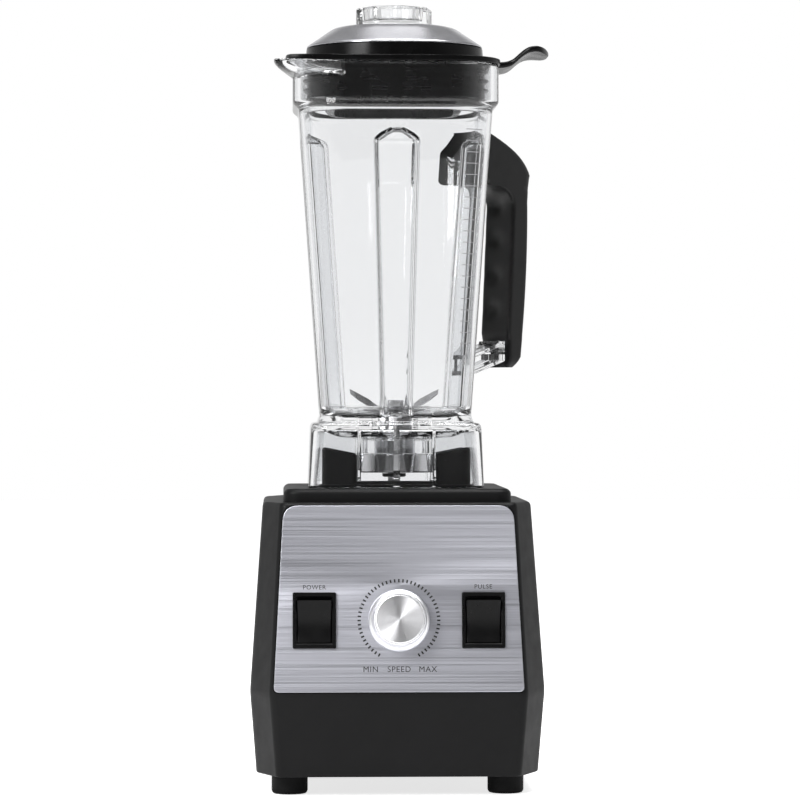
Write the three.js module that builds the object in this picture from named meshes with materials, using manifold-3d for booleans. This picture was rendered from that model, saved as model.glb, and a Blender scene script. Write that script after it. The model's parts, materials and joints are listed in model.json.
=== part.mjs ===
// Countertop blender: motor base, clear jar on a centering pad, rubber lid and filler cap.
// Millimetres, +Z up. The drive axis is built on X = Y = 0 with the feet on Z = 0, and the
// finished group is moved so that the middle of its footprint is the origin.
import * as THREE from "three";
import { mergeVertices } from "three/addons/utils/BufferGeometryUtils.js";
import Module from "manifold-3d";

const wasm = await Module();
wasm.setup();

// ---------------------------------------------------------------- driving dimensions
const GAP = 0.3; // clearance between two pieces that touch
const RUNNING_GAP = 0.4; // radial clearance round a turning or sliding piece

// Base housing: an octagonal shell, widest at its waist
const FOOT_HEIGHT = 12;
const FOOT_RADIUS = 11.35;
const WAIST_HALF_WIDTH = 93;
const WAIST_HALF_DEPTH = 99;
const WAIST_RISE = 51.8; // waist above the bottom edge
const SHOULDER_RISE = 118.8; // shoulder above the waist
const BOTTOM_INSET = 4; // drawn in at the bottom edge, all round
const SIDE_INSET = 8; // drawn in at the shoulder, each side
const FRONT_INSET = 14; // the leaning front face
const BACK_INSET = 7;
const FACET_WIDTH = 13.5; // corner facet seen from the front
const TOP_FACET_WIDTH = 11.7;
const FACET_DEPTH = 29; // corner facet seen from the side
const HOUSING_WALL = 3;
const FRONT_WALL = 6; // thicker behind the control panel
const COVER_THICKNESS = 3;
const FOOT_INSET = 25; // foot axis in from the waist, both ways

// Plinth and centering pad
const PLINTH_HEIGHT = 8.3;
const PLINTH_LEDGE = 13; // shoulder left free round the plinth
const PLINTH_RADIUS = 8;
const PLINTH_CHAMFER = 1.5;
const COUPLER_WELL_RADIUS = 20;
const PAD_THICKNESS = 2;
const PAD_BOSS_HALF = 28;
const PAD_BOSS_HEIGHT = 3.6;
const PAD_BORE = 16;
const POST_SIZE = 22.4;
const POST_HEIGHT = 26.3; // outer edge above the plinth
const POST_FALL = 3.8; // lower at the inner edge

// Control panel and controls, measured in the leaning plane of the front face
const PANEL_THICKNESS = 2;
const PANEL_LIP = 0.9; // housing left standing round the panel
const PANEL_GAP = 0.5;
const PANEL_BOTTOM_MARGIN = 1.4;
const PANEL_TOP_MARGIN = 1.8;
const PANEL_TOP_RADIUS = 7;
const PANEL_BOTTOM_RADIUS = 2.5;
const CONTROL_ROW = 46; // controls above the waist, along the face
const SWITCH_MARGIN = 23; // switch axis in from the panel's edge
const BEZEL_WIDTH = 27;
const BEZEL_HEIGHT = 35;
const BEZEL_THICKNESS = 2;
const ROCKER_WIDTH = 21.2;
const ROCKER_HALF_LENGTH = 13.2;
const ROCKER_TILT = THREE.MathUtils.degToRad(10); // rest tilt, upper end out
const KNOB_RADIUS = 19.25;
const KNOB_FACE_RADIUS = 16.5;
const KNOB_HEIGHT = 16;
const POT_SHAFT_RADIUS = 3;

// Motor, drive and blades
const SHAFT_RADIUS = 5;
const BEARING_RADIUS = 11;
const BEARING_WIDTH = 7;
const STATOR_HALF = 45;
const STATOR_HEIGHT = 50;
const ARMATURE_RADIUS = 26.5;
const AIR_GAP = 1;
const WINDING_DEPTH = 8;
const COMMUTATOR_RADIUS = 14;
const FAN_RADIUS = 40;
const BRACKET_POST = 34; // bracket posts from the axis, both ways
const BRACKET_DISC_RADIUS = 54;
const COUPLER_RADIUS = 12;
const COUPLER_HEIGHT = 18;
const DRIVE_HEX = 4; // half the width across flats of the blade drive
const BLADE_SHAFT_RADIUS = 4;
const BLADE_RADIUS = 29;
const BLADE_THICKNESS = 1.2;
const BEARING_HOUSING_RADIUS = 15;
const NUT_RADIUS = 24;
const NUT_HEIGHT = 12;

// Jar
const JAR_WALL = 2.8;
const SKIRT_HALF = 56;
const SKIRT_TOP_HALF = 54.4;
const SKIRT_HEIGHT = 40.5;
const SKIRT_RADIUS = 12;
const BODY_BOTTOM_HALF = 48.4;
const BODY_TOP_HALF = 62.2;
const BODY_HEIGHT = 202.1;
const BODY_BOTTOM_RADIUS = 16;
const BODY_TOP_RADIUS = 30;
const COLLAR_HALF = 66;
const COLLAR_HEIGHT = 27.2;
const FLOOR_THICKNESS = 5;
const FLUTE_DEPTH = 14.4; // inward flutes in the front, left and right walls
const FLUTE_TOP_WIDTH = 23;
const FLUTE_BOTTOM_WIDTH = 13.6;
const FLUTE_TOP_DROP = 20; // top of the flutes below the collar
const SPOUT_REACH = 30; // spout beyond the collar's corner
const SPOUT_DEPTH = 8.5; // underside of the spout below the rim
const SADDLE_THICKNESS = 6;

// Lid and filler cap
const FLANGE_THICKNESS = 3.6;
const PLUG_CLEARANCE = 1.6; // lid plug to the collar's inside
const PLUG_HEIGHT = 22;
const PLUG_RING_HEIGHT = 6.2;
const PLUG_RING_HALF = 50;
const PLUG_RING_TAPER = 7; // narrower at its lower edge
const LID_BAND_HALF = 57;
const LID_BAND_RADIUS = 48;
const LID_BAND_HEIGHT = 9;
const DOME_HEIGHT = 14;
const DOME_TOP_RADIUS = 42;
const DOME_WALL = 1.5;
const TAB_LENGTH = 34; // pull tab beyond the collar
const TAB_THICKNESS = 3.8;
const TAB_RISE = 9;
const CAP_NECK_RADIUS = 22.6;
const CAP_HEAD_RADIUS = 25.5;
const CAP_HEAD_HEIGHT = 12.4;
const CAP_NECK_WALL = 2.2;
const CAP_POCKET_RADIUS = 15;
const CAP_POCKET_DEPTH = 8.4;
const CAP_POCKET_FLOOR = 3;

// ---------------------------------------------------------------- levels worked out from them
const HOUSING_BOTTOM = FOOT_HEIGHT + GAP;
const WAIST = HOUSING_BOTTOM + WAIST_RISE;
const SHOULDER = WAIST + SHOULDER_RISE;
const PLINTH_TOP = SHOULDER + PLINTH_HEIGHT;
const PLINTH_HALF = WAIST_HALF_WIDTH - SIDE_INSET - PLINTH_LEDGE;
const PAD_BOTTOM = PLINTH_TOP + GAP;
const SKIRT_BOTTOM = PLINTH_TOP + GAP;
const SKIRT_TOP = SKIRT_BOTTOM + SKIRT_HEIGHT;
const FLOOR_TOP = SKIRT_TOP + 2;
const FLOOR_UNDERSIDE = FLOOR_TOP - FLOOR_THICKNESS;
const BODY_BOTTOM = SKIRT_TOP + 5;
const COLLAR_BOTTOM = SKIRT_TOP + BODY_HEIGHT;
const RIM = COLLAR_BOTTOM + COLLAR_HEIGHT;
const FLUTE_TOP = COLLAR_BOTTOM - FLUTE_TOP_DROP;
const COUPLER_TOP = PLINTH_TOP + 3.2;
const COUPLER_BOTTOM = COUPLER_TOP - COUPLER_HEIGHT;
const NUT_BOTTOM = SKIRT_BOTTOM + 9.2;
const BOSS_BOTTOM = NUT_BOTTOM + NUT_HEIGHT + GAP;
const FLANGE_BOTTOM = RIM + GAP;
const FLANGE_TOP = FLANGE_BOTTOM + FLANGE_THICKNESS;
const BAND_TOP = FLANGE_TOP + LID_BAND_HEIGHT;
const DOME_BOTTOM = BAND_TOP + GAP;
const DOME_TOP = DOME_BOTTOM + DOME_HEIGHT;
const STATOR_BOTTOM = 85;
const STATOR_TOP = STATOR_BOTTOM + STATOR_HEIGHT;

// ---------------------------------------------------------------- materials
function material(color, roughness, metalness, opacity = 1) {
  const look = { color, roughness, metalness, opacity, transparent: opacity < 1 };
  return new THREE.MeshStandardMaterial(look);
}

const blackPlastic = material(0x2c2c2d, 0.55, 0);
const blackRubber = material(0x161616, 0.7, 0);
const clearPlastic = material(0xe9eef0, 0.05, 0, 0.3);
const silverPlastic = material(0xb9b8bc, 0.3, 0.6);
const brushedAluminium = material(0xa5a6af, 0.4, 0.9);
const castAluminium = material(0x9b9c9e, 0.55, 0.9);
const stainlessSteel = material(0xb4b5b6, 0.25, 1);
const laminatedSteel = material(0x6d6f72, 0.6, 0.8);
const copperWire = material(0xa0522d, 0.4, 0.8);
const brass = material(0xb08d3c, 0.35, 0.9);
const carbon = material(0x1d1d1f, 0.8, 0);
const boardGreen = material(0x1f5a38, 0.6, 0);

// ---------------------------------------------------------------- shape helpers
const FEW_SIDES = 16; // round pieces up to about 30 mm across
const MANY_SIDES = 24; // larger round pieces

// A closed manifold-3d solid from any closed three.js geometry.
function solid(geometry) {
  const bare = new THREE.BufferGeometry();
  bare.setAttribute("position", geometry.getAttribute("position").clone());
  if (geometry.index) bare.setIndex(geometry.index.clone());
  const merged = mergeVertices(bare, 1e-4);
  const corners = merged.index.array;
  const kept = [];
  for (let i = 0; i < corners.length; i += 3) {
    const [a, b, c] = corners.slice(i, i + 3);
    if (a !== b && b !== c && c !== a) kept.push(a, b, c);
  }
  const vertProperties = new Float32Array(merged.getAttribute("position").array);
  const mesh = new wasm.Mesh({ numProp: 3, vertProperties, triVerts: new Uint32Array(kept) });
  return new wasm.Manifold(mesh);
}

function geometryOf(manifold) {
  const mesh = manifold.getMesh();
  const geometry = new THREE.BufferGeometry();
  geometry.setAttribute("position", new THREE.BufferAttribute(mesh.vertProperties, 3));
  geometry.setIndex(new THREE.BufferAttribute(mesh.triVerts, 1));
  return geometry;
}

function join(first, ...others) {
  return geometryOf(others.reduce((sum, other) => sum.add(solid(other)), solid(first)));
}

function cut(first, ...others) {
  return geometryOf(others.reduce((rest, other) => rest.subtract(solid(other)), solid(first)));
}

function common(first, second) {
  return geometryOf(solid(first).intersect(solid(second)));
}

function box(x0, x1, y0, y1, z0, z1) {
  const geometry = new THREE.BoxGeometry(x1 - x0, y1 - y0, z1 - z0);
  return geometry.translate((x0 + x1) / 2, (y0 + y1) / 2, (z0 + z1) / 2);
}

function cylinder(radius, z0, z1, sides = FEW_SIDES, topRadius = radius) {
  const geometry = new THREE.CylinderGeometry(topRadius, radius, z1 - z0, sides);
  return geometry.rotateX(Math.PI / 2).translate(0, 0, (z0 + z1) / 2);
}

// A turned solid round Z from [radius, z] points, outer side going up. A profile that starts
// and ends off the axis closes on itself.
function turned(profile, sides = FEW_SIDES) {
  const points = profile.map(([radius, z]) => new THREE.Vector2(radius, z));
  const onAxis = profile[0][0] === 0 && profile[profile.length - 1][0] === 0;
  if (!onAxis) points.push(points[0].clone());
  return new THREE.LatheGeometry(points, sides).rotateX(Math.PI / 2);
}

function ring(outer, inner, z0, z1, sides = FEW_SIDES) {
  return turned([[inner, z0], [outer, z0], [outer, z1], [inner, z1]], sides);
}

function prism(outline, z0, z1) {
  const shape = new THREE.Shape(outline.map(([x, y]) => new THREE.Vector2(x, y)));
  const options = { depth: z1 - z0, bevelEnabled: false, curveSegments: 6 };
  return new THREE.ExtrudeGeometry(shape, options).translate(0, 0, z0);
}

// A solid through sections, each a ring of [x, y, z] points in the same order. Seen from
// beyond the last section the points run anticlockwise.
function loft(sections) {
  const count = sections[0].length;
  const positions = sections.flat(2);
  const index = [];
  for (let level = 0; level + 1 < sections.length; level++) {
    for (let i = 0; i < count; i++) {
      const a = level * count + i;
      const b = level * count + ((i + 1) % count);
      index.push(a, b, b + count, a, b + count, a + count);
    }
  }
  for (const level of [0, sections.length - 1]) {
    const centre = [0, 1, 2].map((axis) => sections[level].reduce((s, p) => s + p[axis], 0) / count);
    const hub = positions.length / 3;
    positions.push(...centre);
    for (let i = 0; i < count; i++) {
      const a = level * count + i;
      const b = level * count + ((i + 1) % count);
      if (level === 0) index.push(hub, b, a);
      else index.push(hub, a, b);
    }
  }
  const geometry = new THREE.BufferGeometry();
  geometry.setAttribute("position", new THREE.Float32BufferAttribute(positions, 3));
  geometry.setIndex(index);
  return geometry;
}

// Rounded square ring of points at height z. A beak draws the front-left corner out into
// a spout; with radius equal to half the width the ring is a circle.
const CORNER_STEPS = 4;
function roundedSquare(half, radius, z, beak = 0) {
  const points = [];
  for (let corner = 0; corner < 4; corner++) {
    const middle = (corner + 0.5) * (Math.PI / 2);
    const centreX = Math.sign(Math.cos(middle)) * (half - radius);
    const centreY = Math.sign(Math.sin(middle)) * (half - radius);
    for (let step = 0; step <= CORNER_STEPS; step++) {
      const share = step / CORNER_STEPS;
      const angle = (corner + share) * (Math.PI / 2);
      const pull = corner === 2 ? beak * Math.sqrt(0.5) * (1 - Math.abs(2 * share - 1)) : 0;
      const x = centreX + radius * Math.cos(angle) - pull;
      const y = centreY + radius * Math.sin(angle) - pull;
      points.push([x, y, z]);
    }
  }
  return radius === half ? points.filter((_, i) => i % (CORNER_STEPS + 1) !== CORNER_STEPS) : points;
}

// The same ring for every section of a loft: a circle that keeps the doubled corner points.
function circleAsSquare(radius, z) {
  return roundedSquare(radius + 0.01, radius, z);
}

// ---------------------------------------------------------------- scene graph
const blender = new THREE.Group();

function add(name, geometry, look, parent = blender) {
  const mesh = new THREE.Mesh(geometryOf(solid(geometry)), look);
  mesh.name = name;
  parent.add(mesh);
  return mesh;
}

// Frame of the leaning front face: X across, Y up the face, Z straight out of it.
const lean = Math.atan2(FRONT_INSET, SHOULDER_RISE);
const face = new THREE.Group();
face.position.set(0, -WAIST_HALF_DEPTH, WAIST);
face.rotation.x = Math.PI / 2 - lean;
face.updateMatrix();
blender.add(face);
const onFace = (geometry) => geometry.applyMatrix4(face.matrix);
const FACE_LENGTH = SHOULDER_RISE / Math.cos(lean);

// Frame of the handle: X runs out through the jar's back-right corner.
const corner = new THREE.Group();
corner.rotation.z = Math.PI / 4;
corner.updateMatrix();
blender.add(corner);
const atCorner = (geometry) => geometry.applyMatrix4(corner.matrix);

// ---------------------------------------------------------------- housing
const levels = {
  bottom: {
    z: HOUSING_BOTTOM,
    side: WAIST_HALF_WIDTH - BOTTOM_INSET,
    front: -WAIST_HALF_DEPTH + BOTTOM_INSET,
    back: WAIST_HALF_DEPTH - BOTTOM_INSET,
    facet: FACET_WIDTH,
  },
  waist: {
    z: WAIST,
    side: WAIST_HALF_WIDTH,
    front: -WAIST_HALF_DEPTH,
    back: WAIST_HALF_DEPTH,
    facet: FACET_WIDTH,
  },
  shoulder: {
    z: SHOULDER,
    side: WAIST_HALF_WIDTH - SIDE_INSET,
    front: -WAIST_HALF_DEPTH + FRONT_INSET,
    back: WAIST_HALF_DEPTH - BACK_INSET,
    facet: TOP_FACET_WIDTH,
  },
};

// Octagon at one level, drawn in by a wall thickness, and by another one at the front.
function octagon(level, wall = 0, frontWall = wall, z = level.z) {
  const slope = level.facet / FACET_DEPTH;
  const shift = wall * Math.hypot(1, slope);
  const flat = level.side - level.facet;
  const side = level.side - wall;
  const alongSide = (level.facet - wall + shift) / slope;
  const frontX = flat + frontWall * slope - shift;
  const backX = flat + wall * slope - shift;
  const front = level.front + frontWall;
  const back = level.back - wall;
  return [
    [-frontX, front, z], [frontX, front, z],
    [side, level.front + alongSide, z], [side, level.back - alongSide, z],
    [backX, back, z], [-backX, back, z],
    [-side, level.back - alongSide, z], [-side, level.front + alongSide, z],
  ];
}

const footX = WAIST_HALF_WIDTH - FOOT_INSET;
const footY = WAIST_HALF_DEPTH - FOOT_INSET - 4;
const footPlaces = [
  ["front_left", -footX, -footY], ["front_right", footX, -footY],
  ["rear_left", -footX, footY], ["rear_right", footX, footY],
];
const SCREW_RADIUS = 2.1;
const BOSS_RADIUS = 6;
const BOSS_LENGTH = 26;
const COVER_TOP = HOUSING_BOTTOM + COVER_THICKNESS;

// Half width of the front face at a distance up the face.
function faceHalf(up) {
  const share = up / FACE_LENGTH;
  const low = levels.waist.side - levels.waist.facet;
  const high = levels.shoulder.side - levels.shoulder.facet;
  return low + (high - low) * share;
}

// Rounded trapezoid of the control panel, drawn out by a margin.
function panelOutline(margin) {
  const bottom = PANEL_BOTTOM_MARGIN - margin;
  const top = FACE_LENGTH - PANEL_TOP_MARGIN + margin;
  const low = faceHalf(bottom) - PANEL_LIP - PANEL_GAP + margin;
  const high = faceHalf(top) - PANEL_LIP - PANEL_GAP + margin;
  const points = [];
  const turn = (x, y, radius, start) => {
    for (let step = 0; step <= 4; step++) {
      const angle = start + (step / 4) * (Math.PI / 2);
      points.push([x + radius * Math.cos(angle), y + radius * Math.sin(angle)]);
    }
  };
  turn(low - PANEL_BOTTOM_RADIUS, bottom + PANEL_BOTTOM_RADIUS, PANEL_BOTTOM_RADIUS, -Math.PI / 2);
  turn(high - PANEL_TOP_RADIUS, top - PANEL_TOP_RADIUS, PANEL_TOP_RADIUS, 0);
  turn(-high + PANEL_TOP_RADIUS, top - PANEL_TOP_RADIUS, PANEL_TOP_RADIUS, Math.PI / 2);
  turn(-low + PANEL_BOTTOM_RADIUS, bottom + PANEL_BOTTOM_RADIUS, PANEL_BOTTOM_RADIUS, Math.PI);
  return points;
}

const switchX = faceHalf(CONTROL_ROW) - PANEL_LIP - PANEL_GAP - SWITCH_MARGIN;
const SWITCH_BODY_HALF_WIDTH = ROCKER_WIDTH / 2 + 1.2;
const SWITCH_BODY_HALF_HEIGHT = 15.6;
const BUSHING_RADIUS = 4.6;
const POT_BACK = -FRONT_WALL - GAP;
const PANEL_BACK = -PANEL_THICKNESS - 0.1;

// Openings for the two switches and the control shaft, through anything on the face.
function controlOpenings(clearance, back, front) {
  const halfWidth = SWITCH_BODY_HALF_WIDTH + clearance;
  const halfHeight = SWITCH_BODY_HALF_HEIGHT + clearance;
  const low = CONTROL_ROW - halfHeight;
  const high = CONTROL_ROW + halfHeight;
  const hole = cylinder(BUSHING_RADIUS + clearance, back, front).translate(0, CONTROL_ROW, 0);
  return [
    box(-switchX - halfWidth, -switchX + halfWidth, low, high, back, front),
    box(switchX - halfWidth, switchX + halfWidth, low, high, back, front),
    hole,
  ];
}

const GLAND_X = 45;
const GLAND_Z = HOUSING_BOTTOM + 23;
const GLAND_RADIUS = 7.6;
const GLAND_FLANGE = 11;
// Y of the housing's outer back wall below the waist.
const backWallAt = (z) => levels.bottom.back + (BOTTOM_INSET * (z - HOUSING_BOTTOM)) / WAIST_RISE;

function makeHousing() {
  const outer = loft([levels.bottom, levels.waist, levels.shoulder].map((level) => octagon(level)));
  const ceiling = SHOULDER - HOUSING_WALL;
  const inner = loft([
    octagon(levels.bottom, HOUSING_WALL, HOUSING_WALL, HOUSING_BOTTOM - 1),
    octagon(levels.waist, HOUSING_WALL, FRONT_WALL),
    octagon(levels.shoulder, HOUSING_WALL, FRONT_WALL, ceiling),
  ]);
  const plinth = loft([
    roundedSquare(PLINTH_HALF, PLINTH_RADIUS, ceiling),
    roundedSquare(PLINTH_HALF, PLINTH_RADIUS, PLINTH_TOP - PLINTH_CHAMFER),
    roundedSquare(PLINTH_HALF - PLINTH_CHAMFER, PLINTH_RADIUS - PLINTH_CHAMFER, PLINTH_TOP),
  ]);
  const loftInside = loft([
    roundedSquare(PLINTH_HALF - HOUSING_WALL, PLINTH_RADIUS - HOUSING_WALL, ceiling - 1),
    roundedSquare(PLINTH_HALF - HOUSING_WALL, PLINTH_RADIUS - HOUSING_WALL, PLINTH_TOP - HOUSING_WALL),
  ]);
  const shell = cut(join(outer, plinth), inner, loftInside);

  // Screw bosses over the feet, each webbed to its side wall, and two rails for the board.
  const bosses = footPlaces.flatMap(([, x, y]) => {
    const reach = Math.sign(x) * WAIST_HALF_WIDTH;
    const bottom = COVER_TOP + GAP;
    const web = box(Math.min(x, reach), Math.max(x, reach), y - 1.5, y + 1.5, bottom, bottom + BOSS_LENGTH);
    return [cylinder(BOSS_RADIUS, bottom, bottom + BOSS_LENGTH, 12).translate(x, y, 0), web];
  });
  const rails = [-1, 1].map((side) => {
    const x = side * BOARD_RAIL;
    return box(x - 1.5, x + 1.5, BOARD_Y + BOARD_THICKNESS + GAP, WAIST_HALF_DEPTH, BOARD_LOW, BOARD_HIGH);
  });
  const fittings = common(join(...bosses, ...rails), outer);

  const screwHoles = footPlaces.map(([, x, y]) => {
    return cylinder(SCREW_RADIUS + GAP, COVER_TOP, COVER_TOP + BOSS_LENGTH - 3, 12).translate(x, y, 0);
  });
  const recess = onFace(prism(panelOutline(PANEL_GAP), PANEL_BACK - GAP, 5));
  const openings = controlOpenings(GAP, -FRONT_WALL - 2, 5).map(onFace);
  const well = cylinder(COUPLER_WELL_RADIUS, PLINTH_TOP - HOUSING_WALL - 2, PLINTH_TOP + 2, MANY_SIDES);
  const glandHole = cylinder(GLAND_RADIUS + GAP, -8, 8, FEW_SIDES).rotateX(Math.PI / 2);
  glandHole.translate(GLAND_X, backWallAt(GLAND_Z), GLAND_Z);
  return cut(join(shell, fittings), ...screwHoles, recess, ...openings, well, glandHole);
}

// ---------------------------------------------------------------- base pieces
function makeBottomCover() {
  const outline = octagon(levels.bottom, HOUSING_WALL + GAP).map(([x, y]) => [x, y]);
  const plate = prism(outline, HOUSING_BOTTOM, COVER_TOP);
  const holes = footPlaces.map(([, x, y]) => {
    return cylinder(SCREW_RADIUS + GAP, HOUSING_BOTTOM - 1, COVER_TOP + 1, 12).translate(x, y, 0);
  });
  const slots = [-2, -1, 0, 1, 2].map((row) => {
    return box(-30, 30, row * 11 - 2, row * 11 + 2, HOUSING_BOTTOM - 1, COVER_TOP + 1);
  });
  return cut(plate, ...holes, ...slots);
}

const SCREW_HEAD_RADIUS = 4.2;
const SCREW_HEAD_HEIGHT = 3.6;
const FOOT_RECESS = 5.5;

function makeFoot() {
  const bore = SCREW_RADIUS + GAP;
  const recess = SCREW_HEAD_RADIUS + 0.6;
  return turned([
    [recess, 0], [FOOT_RADIUS - 0.6, 0], [FOOT_RADIUS, 1.2], [FOOT_RADIUS, FOOT_HEIGHT],
    [bore, FOOT_HEIGHT], [bore, FOOT_RECESS], [recess, FOOT_RECESS],
  ]);
}

function makeFootScrew() {
  const headBottom = FOOT_RECESS - GAP - SCREW_HEAD_HEIGHT;
  return turned([
    [0, headBottom], [SCREW_HEAD_RADIUS, headBottom], [SCREW_HEAD_RADIUS, FOOT_RECESS - GAP],
    [SCREW_RADIUS, FOOT_RECESS - GAP], [SCREW_RADIUS, COVER_TOP + BOSS_LENGTH - 4],
    [0, COVER_TOP + BOSS_LENGTH - 4],
  ], 12);
}

function makeControlPanel() {
  const plate = prism(panelOutline(0), PANEL_BACK, PANEL_BACK + PANEL_THICKNESS);
  return cut(plate, ...controlOpenings(GAP, PANEL_BACK - 1, 1));
}

// Switch body and bezel, built about the middle of its opening; the pocket holds the rocker.
const POCKET_DEPTH = 8.5;
function makeSwitchBody() {
  const front = PANEL_BACK + PANEL_THICKNESS + GAP;
  const bezel = box(
    -BEZEL_WIDTH / 2, BEZEL_WIDTH / 2, -BEZEL_HEIGHT / 2, BEZEL_HEIGHT / 2, front, front + BEZEL_THICKNESS,
  );
  const body = box(
    -SWITCH_BODY_HALF_WIDTH, SWITCH_BODY_HALF_WIDTH,
    -SWITCH_BODY_HALF_HEIGHT, SWITCH_BODY_HALF_HEIGHT, -17, front + 0.5,
  );
  const pocketX = ROCKER_WIDTH / 2 + RUNNING_GAP;
  const pocketY = ROCKER_HALF_LENGTH + 1.1;
  const pocket = box(-pocketX, pocketX, -pocketY, pocketY, -POCKET_DEPTH, front + BEZEL_THICKNESS + 1);
  const terminals = [-7, 0, 7].map((y) => box(-3, 3, y - 0.5, y + 0.5, -24, -16.5));
  return cut(join(bezel, body, ...terminals), pocket);
}

// Rocker about its pivot line: two lobes with a hollow between, the upper one standing out.
const ROCKER_PIVOT = -1;
function makeRocker() {
  const shape = new THREE.Shape();
  const lobe = 4.1;
  shape.moveTo(-ROCKER_HALF_LENGTH, lobe);
  shape.lineTo(-ROCKER_HALF_LENGTH + 0.6, -0.5);
  shape.absarc(0, 0, 6.5, Math.PI * 1.05, Math.PI * 1.95, false);
  shape.lineTo(ROCKER_HALF_LENGTH - 0.6, -0.5);
  shape.lineTo(ROCKER_HALF_LENGTH, lobe);
  shape.quadraticCurveTo(0, -1.2, -ROCKER_HALF_LENGTH, lobe);
  const options = { depth: ROCKER_WIDTH, bevelEnabled: false, curveSegments: 8 };
  const rocker = new THREE.ExtrudeGeometry(shape, options).translate(0, 0, -ROCKER_WIDTH / 2);
  // The outline is drawn in (up the face, out of it); turn it so that it is extruded across.
  rocker.rotateY(Math.PI / 2).rotateX(Math.PI / 2);
  return rocker.rotateX(ROCKER_TILT);
}

function makePotentiometer() {
  const nutFront = PANEL_BACK + PANEL_THICKNESS + GAP + 2;
  const can = cylinder(12, POT_BACK - 11, POT_BACK);
  const bushing = cylinder(BUSHING_RADIUS, POT_BACK - 1, nutFront);
  const nut = cylinder(7, nutFront - 2, nutFront, 6);
  const bore = cylinder(POT_SHAFT_RADIUS + RUNNING_GAP, POT_BACK - 7, nutFront + 1);
  return cut(join(can, bushing, nut), bore);
}

const KNOB_BOTTOM = 1;
const KNOB_BORE_DEPTH = 11;
const KNOB_RECESS = 1.4;
function makeKnob() {
  const bore = POT_SHAFT_RADIUS + 0.2;
  const top = KNOB_BOTTOM + KNOB_HEIGHT;
  const insert = KNOB_FACE_RADIUS - 1;
  const nutWell = 9;
  return turned([
    [nutWell, KNOB_BOTTOM], [KNOB_RADIUS, KNOB_BOTTOM], [KNOB_RADIUS, KNOB_BOTTOM + 2.5],
    [KNOB_RADIUS - 1.2, KNOB_BOTTOM + 4], [KNOB_FACE_RADIUS + 0.6, KNOB_BOTTOM + 4.6],
    [KNOB_FACE_RADIUS, top - 0.8], [KNOB_FACE_RADIUS - 0.6, top], [insert, top],
    [insert, top - KNOB_RECESS], [0, top - KNOB_RECESS], [0, KNOB_BOTTOM + KNOB_BORE_DEPTH],
    [bore, KNOB_BOTTOM + KNOB_BORE_DEPTH], [bore, KNOB_BOTTOM + 4], [nutWell, KNOB_BOTTOM + 4],
  ], MANY_SIDES);
}

function makeKnobFace() {
  const top = KNOB_BOTTOM + KNOB_HEIGHT;
  return cylinder(KNOB_FACE_RADIUS - 1 - GAP, top - KNOB_RECESS + 0.2, top - 0.1, MANY_SIDES);
}

const BOARD_Y = 77;
const BOARD_THICKNESS = 1.6;
const BOARD_RAIL = 28;
const BOARD_LOW = 70;
const BOARD_HIGH = 125;
function makeControlBoard() {
  const board = box(-36, 36, BOARD_Y, BOARD_Y + BOARD_THICKNESS, BOARD_LOW, BOARD_HIGH);
  const heatSink = box(-30, -6, BOARD_Y - 14, BOARD_Y + 0.5, 80, 112);
  const capacitor = cylinder(7, -16, 0.5, 16).rotateX(-Math.PI / 2).translate(16, BOARD_Y, 96);
  return join(board, heatSink, capacitor);
}

function makeCordGland() {
  const outside = backWallAt(GLAND_Z + GLAND_FLANGE) + GAP;
  const inside = backWallAt(GLAND_Z - GLAND_FLANGE) - HOUSING_WALL - GAP;
  const bore = 3.8;
  // Profile along the gland's own axis, which then points out of the back wall.
  const body = turned([
    [bore, inside - 4], [GLAND_FLANGE - 1.5, inside - 4], [GLAND_FLANGE - 1.5, inside],
    [GLAND_RADIUS, inside], [GLAND_RADIUS, outside], [GLAND_FLANGE, outside],
    [GLAND_FLANGE, outside + 2.5], [GLAND_RADIUS, outside + 5], [bore, outside + 5],
  ], FEW_SIDES);
  return body.rotateX(-Math.PI / 2).translate(GLAND_X, 0, GLAND_Z);
}

// The pad lies inside the jar's skirt, and its posts stand in the skirt's corner pockets.
const padHalf = () => SKIRT_HALF - JAR_WALL - 3;

const postOuter = () => padHalf() - 2.8;
function makeCenteringPad() {
  const top = PAD_BOTTOM + PAD_THICKNESS;
  const bossTop = PAD_BOTTOM + PAD_BOSS_HEIGHT;
  const plate = loft([
    roundedSquare(padHalf(), SKIRT_RADIUS - 4, PAD_BOTTOM),
    roundedSquare(padHalf(), SKIRT_RADIUS - 4, top),
  ]);
  const boss = loft([
    roundedSquare(PAD_BOSS_HALF, 5, PAD_BOTTOM + 0.5),
    roundedSquare(PAD_BOSS_HALF, 5, bossTop - 0.8),
    roundedSquare(PAD_BOSS_HALF - 0.8, 4.2, bossTop),
  ]);
  const outer = postOuter();
  const inner = outer - POST_SIZE;
  const high = PLINTH_TOP + POST_HEIGHT;
  const posts = [0, 1, 2, 3].map((quarter) => {
    const ringAt = (level) => roundedSquare(POST_SIZE / 2, 3, 0).map(([x, y]) => {
      const px = x + (outer + inner) / 2;
      const py = y + (outer + inner) / 2;
      const share = (px - inner) / POST_SIZE;
      return [px, py, level ? high - POST_FALL * (1 - share) : top - 1];
    });
    return loft([ringAt(false), ringAt(true)]).rotateZ((quarter * Math.PI) / 2);
  });
  const pad = join(plate, boss, ...posts);
  return cut(pad, cylinder(PAD_BORE, PAD_BOTTOM - 1, bossTop + 1, MANY_SIDES));
}

// ---------------------------------------------------------------- motor
const LOWER_BEARING_Z = 24;
const UPPER_BEARING_Z = COUPLER_BOTTOM - 16;

function bracketPosts(z0, z1) {
  return [[1, 1], [1, -1], [-1, 1], [-1, -1]].map(([sx, sy]) => {
    const x = sx * BRACKET_POST;
    const y = sy * BRACKET_POST;
    return box(x - 4, x + 4, y - 4, y + 4, z0, z1);
  });
}

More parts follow.
